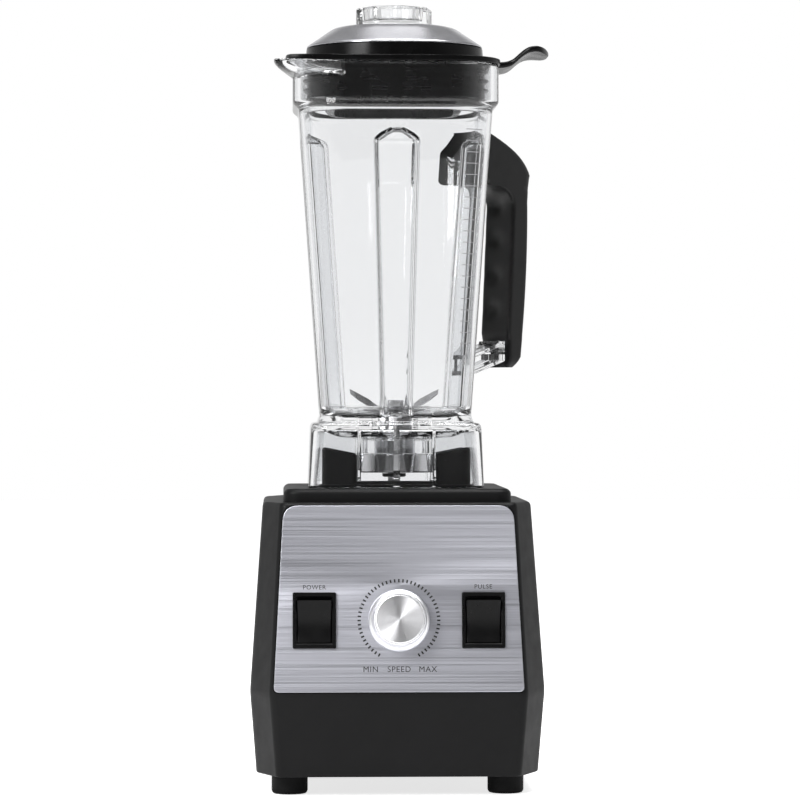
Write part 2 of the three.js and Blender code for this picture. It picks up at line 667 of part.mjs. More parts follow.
function ventHoles(z0, z1) {
  return [0, 1, 2, 3].map((quarter) => {
    const angle = (quarter * Math.PI) / 2;
    return cylinder(9, z0, z1).translate(33 * Math.cos(angle), 33 * Math.sin(angle), 0);
  });
}

function makeLowerBracket() {
  const bottom = LOWER_BEARING_Z - 4;
  const disc = cylinder(BRACKET_DISC_RADIUS, bottom, bottom + 4, MANY_SIDES);
  const hub = cylinder(BEARING_RADIUS + 3, bottom, LOWER_BEARING_Z + BEARING_WIDTH);
  const seat = cylinder(BEARING_RADIUS + GAP, LOWER_BEARING_Z - GAP, LOWER_BEARING_Z + 20);
  const body = join(disc, hub, ...bracketPosts(bottom + 1, STATOR_BOTTOM - GAP));
  return cut(body, seat, ...ventHoles(bottom - 1, bottom + 5));
}

function makeUpperBracket() {
  const top = UPPER_BEARING_Z + BEARING_WIDTH + 3;
  const disc = cylinder(BRACKET_DISC_RADIUS, top - 4, top, MANY_SIDES);
  const hub = cylinder(BEARING_RADIUS + 3, UPPER_BEARING_Z, top);
  const seat = cylinder(BEARING_RADIUS + GAP, UPPER_BEARING_Z - 1, top - 3 + GAP);
  const passage = cylinder(SHAFT_RADIUS + 1, top - 4, top + 1);
  const posts = bracketPosts(STATOR_TOP + GAP, PLINTH_TOP - HOUSING_WALL - GAP);
  return cut(join(disc, hub, ...posts), seat, passage, ...ventHoles(top - 5, top + 1));
}

// Sector of a ring, with its middle on -Y or +Y.
function ringSector(inner, outer, halfAngle, z0, z1, side) {
  const outline = [];
  const steps = 8;
  const middle = (side * Math.PI) / 2;
  for (let i = 0; i <= steps; i++) {
    const angle = middle - halfAngle + (2 * halfAngle * i) / steps;
    outline.push([outer * Math.cos(angle), outer * Math.sin(angle)]);
  }
  for (let i = steps; i >= 0; i--) {
    const angle = middle - halfAngle + (2 * halfAngle * i) / steps;
    outline.push([inner * Math.cos(angle), inner * Math.sin(angle)]);
  }
  return prism(outline, z0, z1);
}

const STATOR_BORE = ARMATURE_RADIUS + AIR_GAP;
const WINDING_HALF_ANGLE = THREE.MathUtils.degToRad(46);
const WINDING_OVERHANG = 7; // beyond the core at each end
function makeStator() {
  const core = loft([
    roundedSquare(STATOR_HALF, 12, STATOR_BOTTOM),
    roundedSquare(STATOR_HALF, 12, STATOR_TOP),
  ]);
  const bore = cylinder(STATOR_BORE, STATOR_BOTTOM - 1, STATOR_TOP + 1, MANY_SIDES);
  const slots = [-1, 1].map((side) => ringSector(
    STATOR_BORE - 3, STATOR_BORE + WINDING_DEPTH + 2 * GAP + 0.4,
    WINDING_HALF_ANGLE + 0.04, STATOR_BOTTOM - 1, STATOR_TOP + 1, side,
  ));
  return cut(core, bore, ...slots);
}

function makeWinding(side) {
  const inner = STATOR_BORE + GAP;
  const low = STATOR_BOTTOM - WINDING_OVERHANG;
  const high = STATOR_TOP + WINDING_OVERHANG;
  return ringSector(inner, inner + WINDING_DEPTH, WINDING_HALF_ANGLE, low, high, side);
}

function makeBearing(outer, inner, bottom, width) {
  const groove = (outer - inner) * 0.28;
  return turned([
    [inner, bottom], [outer - groove, bottom], [outer, bottom + 0.6],
    [outer, bottom + width], [inner, bottom + width],
  ]);
}

function makeMotorShaft() {
  return turned([
    [0, LOWER_BEARING_Z], [SHAFT_RADIUS, LOWER_BEARING_Z], [SHAFT_RADIUS, COUPLER_BOTTOM + 7],
    [SHAFT_RADIUS - 0.8, COUPLER_BOTTOM + 8], [0, COUPLER_BOTTOM + 8],
  ]);
}

const SHAFT_FIT = 0.2; // pressed pieces keep this much to the shaft
function makeArmature() {
  const bore = SHAFT_RADIUS + SHAFT_FIT;
  const low = STATOR_BOTTOM - 1;
  const high = STATOR_TOP + 1;
  return turned([
    [bore, low - 9], [18, low - 9], [20, low], [ARMATURE_RADIUS, low],
    [ARMATURE_RADIUS, high], [20, high], [18, high + 9], [bore, high + 9],
  ], MANY_SIDES);
}

const COMMUTATOR_BOTTOM = STATOR_BOTTOM - 31;
const BRUSH_Z = COMMUTATOR_BOTTOM + 9;
function makeCommutator() {
  const body = ring(COMMUTATOR_RADIUS, SHAFT_RADIUS + SHAFT_FIT, COMMUTATOR_BOTTOM, COMMUTATOR_BOTTOM + 19);
  return join(body, ring(11, SHAFT_RADIUS + SHAFT_FIT, COMMUTATOR_BOTTOM + 18, COMMUTATOR_BOTTOM + 20.5));
}

function makeBrush(side) {
  const inner = COMMUTATOR_RADIUS + RUNNING_GAP;
  const brush = box(inner, inner + 14, -3.5, 3.5, BRUSH_Z - 4, BRUSH_Z + 4);
  return side > 0 ? brush : brush.rotateZ(Math.PI);
}

function makeBrushHolder(side) {
  const inner = COMMUTATOR_RADIUS + 3;
  const tube = box(inner, inner + 18, -5.2, 5.2, BRUSH_Z - 5.7, BRUSH_Z + 5.7);
  const bore = box(inner - 1, inner + 16, -3.8, 3.8, BRUSH_Z - 4.3, BRUSH_Z + 4.3);
  const holder = cut(tube, bore);
  return side > 0 ? holder : holder.rotateZ(Math.PI);
}

function makeFan() {
  const bottom = LOWER_BEARING_Z + BEARING_WIDTH + 2;
  const disc = cylinder(FAN_RADIUS, bottom + 8, bottom + 10, MANY_SIDES);
  const hub = cylinder(10, bottom, bottom + 10);
  const vanes = [];
  for (let i = 0; i < 8; i++) {
    const vane = box(8, FAN_RADIUS - 1, -0.8, 0.8, bottom, bottom + 8.5);
    vanes.push(vane.rotateZ((i * Math.PI) / 4));
  }
  const bore = cylinder(SHAFT_RADIUS + SHAFT_FIT, bottom - 1, bottom + 12);
  return cut(join(disc, hub, ...vanes), bore);
}

// A hexagonal prism with a given half width across its flats.
function hexagon(halfFlats, z0, z1) {
  return cylinder(halfFlats / Math.cos(Math.PI / 6), z0, z1, 6);
}

function makeCoupler() {
  const body = turned([
    [0, COUPLER_BOTTOM], [COUPLER_RADIUS, COUPLER_BOTTOM], [COUPLER_RADIUS, COUPLER_TOP - 1],
    [COUPLER_RADIUS - 1, COUPLER_TOP], [0, COUPLER_TOP],
  ], MANY_SIDES);
  const bore = cylinder(SHAFT_RADIUS + SHAFT_FIT, COUPLER_BOTTOM - 1, COUPLER_BOTTOM + 8.3);
  const socket = hexagon(DRIVE_HEX + 0.5, COUPLER_BOTTOM + 8, COUPLER_TOP + 1);
  return cut(body, bore, socket);
}

// ---------------------------------------------------------------- jar
// Half width and corner radius of the jar's outer body at a height.
function bodyAt(z) {
  const share = (z - BODY_BOTTOM) / (COLLAR_BOTTOM - BODY_BOTTOM);
  const half = BODY_BOTTOM_HALF + (BODY_TOP_HALF - BODY_BOTTOM_HALF) * share;
  const radius = BODY_BOTTOM_RADIUS + (BODY_TOP_RADIUS - BODY_BOTTOM_RADIUS) * share;
  return { half, radius };
}

const COLLAR_RADIUS = BODY_TOP_RADIUS + 3;
const collarInner = () => COLLAR_HALF - JAR_WALL - 2;
const collarInnerRadius = () => COLLAR_RADIUS - JAR_WALL - 2;
function bodyRing(z, offset) {
  const { half, radius } = bodyAt(z);
  return roundedSquare(half + offset, radius + offset, z);
}

// Outer skin of the body between two heights, drawn out by an offset.
function bodySkin(z0, z1, offset) {
  return loft([bodyRing(z0, offset), bodyRing(z1, offset)]);
}

// One flute as a tapered block on the +X wall: its crest faces inward, its top slopes.
function flute(extra) {
  const bottomZ = FLOOR_TOP + 4 - extra;
  const inwardAt = (z) => bodyAt(z).half - FLUTE_DEPTH - extra;
  const crossSection = (z, halfWidth, inward) => {
    const outward = bodyAt(z).half + 8;
    return [
      [outward, -halfWidth - 0.8, z], [outward, halfWidth + 0.8, z],
      [inward + 2, halfWidth, z], [inward, halfWidth - 2.5, z],
      [inward, -halfWidth + 2.5, z], [inward + 2, -halfWidth, z],
    ];
  };
  const bottomHalf = FLUTE_BOTTOM_WIDTH / 2 + extra;
  const topHalf = FLUTE_TOP_WIDTH / 2 + extra;
  const peak = FLUTE_TOP + 7 + extra;
  return loft([
    crossSection(bottomZ, bottomHalf, inwardAt(bottomZ)),
    crossSection(FLUTE_TOP - 3, topHalf, inwardAt(FLUTE_TOP - 3)),
    crossSection(FLUTE_TOP + 1 + extra, topHalf - 1.5, inwardAt(FLUTE_TOP) + 1.5),
    crossSection(peak, topHalf * 0.45, bodyAt(peak).half - 1.5 - extra),
  ]);
}

const FLUTE_TURNS = [0, Math.PI, -Math.PI / 2]; // right, left and front walls
const POCKET_WALL = () => postOuter() - POST_SIZE - 1.2; // inner walls beside the posts
function makeJar() {
  const skirt = loft([
    roundedSquare(SKIRT_HALF, SKIRT_RADIUS, SKIRT_BOTTOM),
    roundedSquare(SKIRT_TOP_HALF, SKIRT_RADIUS, SKIRT_TOP - 3.5),
    roundedSquare(SKIRT_TOP_HALF - 1.5, SKIRT_RADIUS - 1.5, SKIRT_TOP - 0.8),
    roundedSquare(SKIRT_TOP_HALF - 4.5, SKIRT_RADIUS, SKIRT_TOP + 0.4),
    roundedSquare(BODY_BOTTOM_HALF, BODY_BOTTOM_RADIUS, BODY_BOTTOM),
  ]);
  const body = loft([
    bodyRing(BODY_BOTTOM - 0.5, 0),
    bodyRing(COLLAR_BOTTOM, 0),
    roundedSquare(COLLAR_HALF, COLLAR_RADIUS, COLLAR_BOTTOM + 3),
    roundedSquare(COLLAR_HALF, COLLAR_RADIUS, RIM - SPOUT_DEPTH),
    roundedSquare(COLLAR_HALF, COLLAR_RADIUS, RIM - SPOUT_DEPTH + 3, SPOUT_REACH * 0.8),
    roundedSquare(COLLAR_HALF, COLLAR_RADIUS, RIM, SPOUT_REACH),
  ]);
  const inside = loft([
    roundedSquare(bodyAt(FLOOR_TOP).half - JAR_WALL - 3, BODY_BOTTOM_RADIUS - 3, FLOOR_TOP),
    bodyRing(FLOOR_TOP + 4, -JAR_WALL),
    bodyRing(COLLAR_BOTTOM - 5, -JAR_WALL),
    roundedSquare(collarInner(), collarInnerRadius(), COLLAR_BOTTOM + 3),
    roundedSquare(collarInner(), collarInnerRadius(), RIM - SPOUT_DEPTH + JAR_WALL),
    roundedSquare(collarInner(), collarInnerRadius(), RIM - SPOUT_DEPTH + JAR_WALL + 3, SPOUT_REACH * 0.8),
    roundedSquare(collarInner(), collarInnerRadius(), RIM + 1, SPOUT_REACH + 1),
  ]);
  const below = loft([
    roundedSquare(SKIRT_HALF - JAR_WALL, SKIRT_RADIUS - JAR_WALL, SKIRT_BOTTOM - 1),
    roundedSquare(SKIRT_TOP_HALF - JAR_WALL - 0.6, SKIRT_RADIUS - JAR_WALL, FLOOR_UNDERSIDE),
  ]);
  const wholeBody = bodySkin(FLOOR_TOP + 1, COLLAR_BOTTOM, 0);
  const bumps = FLUTE_TURNS.map((turn) => common(flute(JAR_WALL).rotateZ(turn), wholeBody));
  const grooves = FLUTE_TURNS.map((turn) => flute(0).rotateZ(turn));

  // Under the floor: the boss that takes the bearing housing, walls beside the pad's posts
  // and a fin in the middle of the front.
  const boss = cylinder(NUT_RADIUS - 0.4, BOSS_BOTTOM, FLOOR_UNDERSIDE + 1, MANY_SIDES);
  const near = POCKET_WALL();
  const wallBottom = PLINTH_TOP + POST_HEIGHT - 22;
  const walls = [0, 1, 2, 3].flatMap((quarter) => [-1, 1].map((side) => {
    const x = side * near;
    const wall = box(x - 1, x + 1, near + 1.2, SKIRT_TOP_HALF - 1, wallBottom, FLOOR_UNDERSIDE + 1);
    return wall.rotateZ((quarter * Math.PI) / 2);
  }));
  const finBottom = PAD_BOTTOM + PAD_BOSS_HEIGHT + 1;
  const fin = box(-2, 2, -SKIRT_TOP_HALF + 1, -NUT_RADIUS - 3, finBottom, FLOOR_UNDERSIDE + 1);
  const hole = cylinder(BEARING_HOUSING_RADIUS + GAP, BOSS_BOTTOM - 1, FLOOR_TOP + 1, MANY_SIDES);
  const shell = cut(join(skirt, body), inside, below);
  return cut(join(shell, ...bumps, boss, ...walls, fin, lugShape()), ...grooves, hole, lugHole());
}

// Lug at the foot of the handle: two plates joined by a web and an end block.
const LUG_TOP = () => SKIRT_TOP + 44;
const LUG_END = () => HANDLE_FOOT - GAP;
const LUG_HALF_WIDTH = 9;
const LUG_HEIGHT = 13.4; // underside of the lower plate below the lug's top, at the root
const LUG_RISE = 10.5; // the end stands higher than the root
const LUG_PLATE = 3;
const LUG_PLATE_PITCH = 11; // one plate above the other
const LUG_WEB_HALF = 2;
function lugShape() {
  const top = LUG_TOP();
  const rootZ = top - 6;
  const { half, radius } = bodyAt(rootZ);
  const root = (half - radius) * Math.SQRT2 + radius - 1.5;
  const end = LUG_END();
  const low = top - LUG_HEIGHT;
  // A bar from root to end, which rises on the way.
  const bar = (halfWidth, z0, z1) => {
    const at = (x, z) => [
      [x, -halfWidth, z + z0], [x, halfWidth, z + z0], [x, halfWidth, z + z1], [x, -halfWidth, z + z1],
    ];
    return loft([at(root, low), at(end, low + LUG_RISE)]);
  };
  const lowerPlate = bar(LUG_HALF_WIDTH, 0, LUG_PLATE);
  const upperPlate = bar(LUG_HALF_WIDTH, LUG_PLATE_PITCH, LUG_PLATE_PITCH + LUG_PLATE);
  const web = bar(LUG_WEB_HALF, 1, LUG_PLATE_PITCH + 2);
  const blockBottom = low + LUG_RISE + 0.5;
  const blockTop = low + LUG_RISE + LUG_PLATE_PITCH + 2.5;
  const block = box(end - 7, end, -LUG_HALF_WIDTH, LUG_HALF_WIDTH, blockBottom, blockTop);
  return atCorner(join(lowerPlate, upperPlate, web, block));
}

function screwAxisZ() {
  return LUG_TOP() - LUG_HEIGHT + LUG_RISE + LUG_PLATE_PITCH / 2 + 1.5;
}

function lugHole() {
  const hole = cylinder(SCREW_RADIUS + GAP, LUG_END() - 12, LUG_END() + 1, 12).rotateY(Math.PI / 2);
  return atCorner(hole.translate(0, 0, screwAxisZ()));
}

// Handle: side outline in (out from the axis, up), extruded across with rounded edges, and
// a saddle that lies round the jar's corner.
const GRIP_INNER_TOP = 104;
const GRIP_INNER_BOTTOM = 99;
const GRIP_THICKNESS = 20;
const GRIP_HALF_WIDTH = 13;
const HANDLE_FOOT = 100;
const HANDLE_FOOT_HEIGHT = 18.5; // flat that meets the lug
const GRIP_NECK = 3.5; // the grip's outer line draws in below its peak
const HANDLE_TOP_DROP = 8.5; // below the collar
const SADDLE_HALF_WIDTH = 20;
const SADDLE_HEIGHT = 35;
function makeHandle() {
  const top = COLLAR_BOTTOM - HANDLE_TOP_DROP;
  const saddleBottom = top - SADDLE_HEIGHT;
  const foot = LUG_TOP() - 7;
  const { half, radius } = bodyAt(saddleBottom);
  const wall = (half - radius) * Math.SQRT2 + radius;
  const outline = new THREE.Shape();
  outline.moveTo(HANDLE_FOOT, foot);
  outline.lineTo(HANDLE_FOOT + 6, foot);
  outline.lineTo(GRIP_INNER_BOTTOM + GRIP_THICKNESS - 6, foot + 7);
  outline.quadraticCurveTo(
    GRIP_INNER_BOTTOM + GRIP_THICKNESS + 3, foot + 60,
    GRIP_INNER_TOP + GRIP_THICKNESS - GRIP_NECK, top - 45,
  );
  outline.lineTo(GRIP_INNER_TOP + GRIP_THICKNESS, top - 27);
  outline.quadraticCurveTo(GRIP_INNER_TOP + 13, top - 12, wall + 14, top - 2);
  outline.lineTo(wall + 1, top);
  outline.lineTo(wall + 1, saddleBottom);
  outline.lineTo(wall + 10, saddleBottom);
  outline.quadraticCurveTo(GRIP_INNER_TOP - 1, saddleBottom - 1, GRIP_INNER_TOP, saddleBottom - 12);
  const fingers = 4;
  const gripTop = saddleBottom - 12;
  const gripBottom = foot + HANDLE_FOOT_HEIGHT + 5;
  for (let finger = 0; finger < fingers; finger++) {
    const share = (finger + 1) / fingers;
    const middleShare = (finger + 0.5) / fingers;
    const x = GRIP_INNER_TOP + (GRIP_INNER_BOTTOM - GRIP_INNER_TOP) * share;
    const middleX = GRIP_INNER_TOP + (GRIP_INNER_BOTTOM - GRIP_INNER_TOP) * middleShare;
    const z = gripTop + (gripBottom - gripTop) * share;
    const middleZ = gripTop + (gripBottom - gripTop) * middleShare;
    outline.quadraticCurveTo(middleX + 3.4, middleZ, x, z);
  }
  outline.lineTo(HANDLE_FOOT, foot + HANDLE_FOOT_HEIGHT);
  const bevel = 4;
  const options = {
    depth: 2 * (GRIP_HALF_WIDTH - bevel), bevelEnabled: true, bevelThickness: bevel,
    bevelSize: 1.6, bevelOffset: -1.6, bevelSegments: 2, curveSegments: 5,
  };
  const grip = new THREE.ExtrudeGeometry(outline, options);
  grip.translate(0, 0, -(GRIP_HALF_WIDTH - bevel)).rotateX(Math.PI / 2);

  const cornerBlock = loft([bodyRing(saddleBottom, SADDLE_THICKNESS), bodyRing(top, SADDLE_THICKNESS)]);
  const across = SADDLE_HALF_WIDTH;
  const chamfer = 8;
  const frontView = prism([
    [-across, saddleBottom + 2], [-across + 2, saddleBottom], [across - 2, saddleBottom],
    [across, saddleBottom + 2], [across, top - chamfer - 4], [across - chamfer, top],
    [-across + chamfer, top], [-across, top - chamfer - 4],
  ], 40, 100).rotateX(Math.PI / 2).rotateZ(Math.PI / 2);
  const saddle = common(cornerBlock, atCorner(frontView));
  const clearance = bodySkin(saddleBottom - 30, COLLAR_BOTTOM, GAP);
  const shank = cylinder(SCREW_RADIUS + GAP, HANDLE_FOOT - 4, HANDLE_FOOT + 20, 12);
  const headWell = cylinder(SCREW_HEAD_RADIUS + 0.5, HANDLE_FOOT + 6, HANDLE_FOOT + 24, 16);
  const bore = join(shank, headWell).rotateY(Math.PI / 2).translate(0, 0, screwAxisZ());
  return cut(join(atCorner(grip), saddle), clearance, atCorner(bore));
}

function makeHandleScrew() {
  const seat = HANDLE_FOOT + 6 + GAP;
  const screw = turned([
    [0, LUG_END() - 9], [SCREW_RADIUS, LUG_END() - 9], [SCREW_RADIUS, seat],
    [SCREW_HEAD_RADIUS, seat], [SCREW_HEAD_RADIUS, seat + 2.5], [0, seat + 2.5],
  ], 12);
  return screw.rotateY(Math.PI / 2).translate(0, 0, screwAxisZ());
}

// ---------------------------------------------------------------- blade drive in the jar floor
const GASKET_THICKNESS = 0.8;
const GASKET_BOTTOM = FLOOR_TOP + 0.15;
const HOUSING_FLANGE_BOTTOM = GASKET_BOTTOM + GASKET_THICKNESS + 0.15;
const HOUSING_FLANGE_TOP = HOUSING_FLANGE_BOTTOM + 1.7;
const HOUSING_FLANGE_RADIUS = 20;
const HOUSING_LOW = NUT_BOTTOM + 2;
const BLADE_BEARING_RADIUS = 9.5;
const BLADE_BEARING_WIDTH = 6;
function makeBearingHousing() {
  const seat = BLADE_BEARING_RADIUS + 0.2;
  const throat = BLADE_BEARING_RADIUS - 2;
  const lowSeat = HOUSING_LOW + BLADE_BEARING_WIDTH + GAP;
  const highSeat = HOUSING_FLANGE_TOP - 4.6 - BLADE_BEARING_WIDTH;
  return turned([
    [seat, HOUSING_LOW], [BEARING_HOUSING_RADIUS, HOUSING_LOW],
    [BEARING_HOUSING_RADIUS, HOUSING_FLANGE_BOTTOM], [HOUSING_FLANGE_RADIUS, HOUSING_FLANGE_BOTTOM],
    [HOUSING_FLANGE_RADIUS - 0.8, HOUSING_FLANGE_TOP], [seat, HOUSING_FLANGE_TOP],
    [seat, highSeat - GAP], [throat, highSeat - GAP], [throat, lowSeat], [seat, lowSeat],
  ], MANY_SIDES);
}

function makeBladeSeal() {
  const bottom = HOUSING_FLANGE_TOP - 4;
  const inner = BLADE_SHAFT_RADIUS + 0.2;
  return turned([
    [inner, bottom + 1.6], [inner + 2.2, bottom], [BLADE_BEARING_RADIUS, bottom],
    [BLADE_BEARING_RADIUS, HOUSING_FLANGE_TOP - 0.2], [inner, HOUSING_FLANGE_TOP - 0.2],
  ]);
}

const NUT_CHAMFER = 0.8;
const NUT_NOTCHES = 8;
const NUT_NOTCH_DEPTH = 2.2;
function makeRetainingNut() {
  const top = NUT_BOTTOM + NUT_HEIGHT;
  const bore = BEARING_HOUSING_RADIUS + GAP;
  const body = turned([
    [bore, NUT_BOTTOM], [NUT_RADIUS - NUT_CHAMFER, NUT_BOTTOM], [NUT_RADIUS, NUT_BOTTOM + NUT_CHAMFER],
    [NUT_RADIUS, top - NUT_CHAMFER], [NUT_RADIUS - NUT_CHAMFER, top], [bore, top],
  ], MANY_SIDES);
  const notches = [];
  for (let i = 0; i < NUT_NOTCHES; i++) {
    // Each notch tapers from wide at the top edge to narrow at the bottom edge.
    const at = (z, half) => [
      [NUT_RADIUS - NUT_NOTCH_DEPTH, -half, z], [NUT_RADIUS + 3, -half - 1, z],
      [NUT_RADIUS + 3, half + 1, z], [NUT_RADIUS - NUT_NOTCH_DEPTH, half, z],
    ];
    const notch = loft([at(NUT_BOTTOM - 1, 1.6), at(top + 1, 3.8)]);
    notches.push(notch.rotateZ(((i + 0.5) * 2 * Math.PI) / NUT_NOTCHES));
  }
  return cut(body, ...notches);
}

const BLADE_STACK = HOUSING_FLANGE_TOP + 0.6;
const WASHER_THICKNESS = 0.8;
const WASHER_RADIUS = 8;
const BLADE_FIT = 0.15; // clamped pieces keep this much to the blade shaft
const STACK_GAP = 0.2;
const FIRST_BLADE = BLADE_STACK + WASHER_THICKNESS + STACK_GAP;
const bladeLevel = (row) => FIRST_BLADE + row * (BLADE_THICKNESS + STACK_GAP);
const BLADE_NUT_BOTTOM = bladeLevel(3);
const BLADE_NUT_HEIGHT = 4.4;
const HUB_BOTTOM = PAD_BOTTOM + PAD_BOSS_HEIGHT + 2;
const HUB_HEIGHT = 3.2;
function makeBladeShaft() {
  const top = BLADE_NUT_BOTTOM + BLADE_NUT_HEIGHT - 1.2;
  const rod = cylinder(BLADE_SHAFT_RADIUS, HUB_BOTTOM, top);
  const drive = hexagon(DRIVE_HEX, COUPLER_BOTTOM + 11, HUB_BOTTOM + 0.5);
  return join(rod, drive);
}

function makeDriveHub() {
  const bore = BLADE_SHAFT_RADIUS + BLADE_FIT;
  const flank = 0.5;
  return turned([
    [bore, HUB_BOTTOM + 0.8], [6.4, HUB_BOTTOM + 0.8], [7.65, HUB_BOTTOM + 0.8 + flank],
    [7.65, HUB_BOTTOM + HUB_HEIGHT], [bore, HUB_BOTTOM + HUB_HEIGHT],
  ]);
}

// One blade: a hub plate with two wings. Each wing is flat out to an elbow and then bends.
function makeBlade(row, elbow, rise, turn) {
  const z = bladeLevel(row);
  const wing = () => {
    const at = (x, back, front, lift) => [
      [x, back, z + lift], [x, front, z + lift],
      [x, front, z + lift + BLADE_THICKNESS], [x, back, z + lift + BLADE_THICKNESS],
    ];
    return loft([
      at(4.6, -5.5, 5.5, 0), at(elbow, -6, 5, 0),
      at(BLADE_RADIUS - 2, -4.5, 3.5, rise * 0.92), at(BLADE_RADIUS, -2.5, 2, rise),
    ]);
  };
  const plate = cylinder(8.5, z, z + BLADE_THICKNESS);
  const bore = cylinder(BLADE_SHAFT_RADIUS + BLADE_FIT, z - 1, z + BLADE_THICKNESS + 1);
  return cut(join(plate, wing(), wing().rotateZ(Math.PI)), bore).rotateZ(turn);
}

function makeBladeNut() {
  const body = hexagon(6.5, BLADE_NUT_BOTTOM, BLADE_NUT_BOTTOM + BLADE_NUT_HEIGHT);
  const bore = cylinder(
    BLADE_SHAFT_RADIUS + BLADE_FIT, BLADE_NUT_BOTTOM - 1, BLADE_NUT_BOTTOM + BLADE_NUT_HEIGHT - 1,
  );
  return cut(body, bore);
}

// ---------------------------------------------------------------- lid and filler cap
const CAP_BORE = CAP_NECK_RADIUS + 0.5;
const LID_TUBE_RADIUS = CAP_BORE + 2.8;
const SEAL_Z = FLANGE_TOP + 5;
const SEAL_HEIGHT = 2.4;
const SEAL_DEPTH = 1.2; // how far the seal stands into its groove
const LID_BEAK = 0.52; // the lid flange covers this share of the spout
const PLUG_BOTTOM = FLANGE_BOTTOM - PLUG_HEIGHT;
const PLUG_FINS = 3;
const PLUG_FIN_PITCH = 6;
const tabWidths = [
  // out from the collar, half width, height above the flange's middle
  [-8, 25, 0], [2, 24, 0.2], [6, 24, 0.5], [10, 24.5, 1.8], [16, 27, 7.2], [20, 29, TAB_RISE],
  [25, 29, TAB_RISE], [29, 25, TAB_RISE - 0.7], [32.5, 17, TAB_RISE - 1.6], [TAB_LENGTH, 9, TAB_RISE - 2],
];
function makeLidBase() {
  const plug = collarInner() - PLUG_CLEARANCE;
  const core = plug - 2.4;
  const plugRadius = COLLAR_RADIUS - JAR_WALL - 2 - PLUG_CLEARANCE;
  const sections = [
    roundedSquare(PLUG_RING_HALF - PLUG_RING_TAPER, 20, PLUG_BOTTOM - PLUG_RING_HEIGHT),
    roundedSquare(PLUG_RING_HALF, 22, PLUG_BOTTOM),
    roundedSquare(core, plugRadius - 2.4, PLUG_BOTTOM),
  ];
  for (let fin = 0; fin < PLUG_FINS; fin++) {
    const z = PLUG_BOTTOM + 4 + fin * PLUG_FIN_PITCH;
    sections.push(roundedSquare(core, plugRadius - 2.4, z));
    sections.push(roundedSquare(plug, plugRadius, z + 0.6));
    sections.push(roundedSquare(plug, plugRadius, z + 1.8));
    sections.push(roundedSquare(core, plugRadius - 2.4, z + 2.4));
  }
  const flangeHalf = COLLAR_HALF + 1;
  sections.push(roundedSquare(core, plugRadius - 2.4, FLANGE_BOTTOM));
  const plugBody = loft(sections);
  const flange = loft([
    roundedSquare(flangeHalf, COLLAR_RADIUS, FLANGE_BOTTOM, SPOUT_REACH * LID_BEAK),
    roundedSquare(flangeHalf, COLLAR_RADIUS, FLANGE_TOP, SPOUT_REACH * LID_BEAK),
  ]);
  const band = loft([
    roundedSquare(LID_BAND_HALF, LID_BAND_RADIUS, FLANGE_TOP - 1),
    roundedSquare(LID_BAND_HALF, LID_BAND_RADIUS, BAND_TOP),
  ]);
  const tabZ = (FLANGE_BOTTOM + FLANGE_TOP) / 2;
  const tab = loft(tabWidths.map(([out, half, rise]) => {
    const x = COLLAR_HALF + out;
    const low = tabZ + rise - TAB_THICKNESS / 2;
    const high = tabZ + rise + TAB_THICKNESS / 2;
    return [[x, -half, low], [x, half, low], [x, half, high], [x, -half, high]];
  }));
  const tubeTop = DOME_TOP - DOME_WALL - GAP;
  const tube = cylinder(LID_TUBE_RADIUS, PLUG_BOTTOM, tubeTop, MANY_SIDES);
  const below = PLUG_BOTTOM - PLUG_RING_HEIGHT - 8;
  const insideHalf = PLUG_RING_HALF - PLUG_RING_TAPER - 3;
  const hollow = cut(
    loft([
      roundedSquare(insideHalf - 1, 18, PLUG_BOTTOM - PLUG_RING_HEIGHT - 1),
      roundedSquare(insideHalf, 18, FLANGE_TOP - 1),
    ]),
    cylinder(LID_TUBE_RADIUS, below, FLANGE_TOP, MANY_SIDES),
  );
  const under = cylinder(LID_TUBE_RADIUS + 1, below, PLUG_BOTTOM);
  const bore = cylinder(CAP_BORE, below, tubeTop + 1, MANY_SIDES);
  const groove = cylinder(CAP_BORE + SEAL_DEPTH + RUNNING_GAP, SEAL_Z, SEAL_Z + SEAL_HEIGHT, MANY_SIDES);
  const whole = join(plugBody, flange, band, tab);
  return cut(join(cut(whole, hollow, under), tube), bore, groove);
}

function makeLidCover() {
  const outer = loft([
    roundedSquare(LID_BAND_HALF, LID_BAND_RADIUS, DOME_BOTTOM),
    roundedSquare(LID_BAND_HALF - 2, LID_BAND_RADIUS, DOME_BOTTOM + 2),
    circleAsSquare(DOME_TOP_RADIUS, DOME_TOP - 1.2),
    circleAsSquare(DOME_TOP_RADIUS - 3.5, DOME_TOP),
  ]);
  const inner = loft([
    roundedSquare(LID_BAND_HALF - 2.5, LID_BAND_RADIUS - 1, DOME_BOTTOM - 1),
    roundedSquare(LID_BAND_HALF - 4, LID_BAND_RADIUS - 1, DOME_BOTTOM + 1.5),
    circleAsSquare(DOME_TOP_RADIUS - 3, DOME_TOP - DOME_WALL),
  ]);
  return cut(outer, inner, cylinder(CAP_BORE, DOME_BOTTOM, DOME_TOP + 1, MANY_SIDES));
}

function makeCapSeal() {
  const inner = CAP_NECK_RADIUS + 0.35;
  return ring(CAP_BORE + SEAL_DEPTH, inner, SEAL_Z + 0.2, SEAL_Z + SEAL_HEIGHT - 0.2, MANY_SIDES);
}

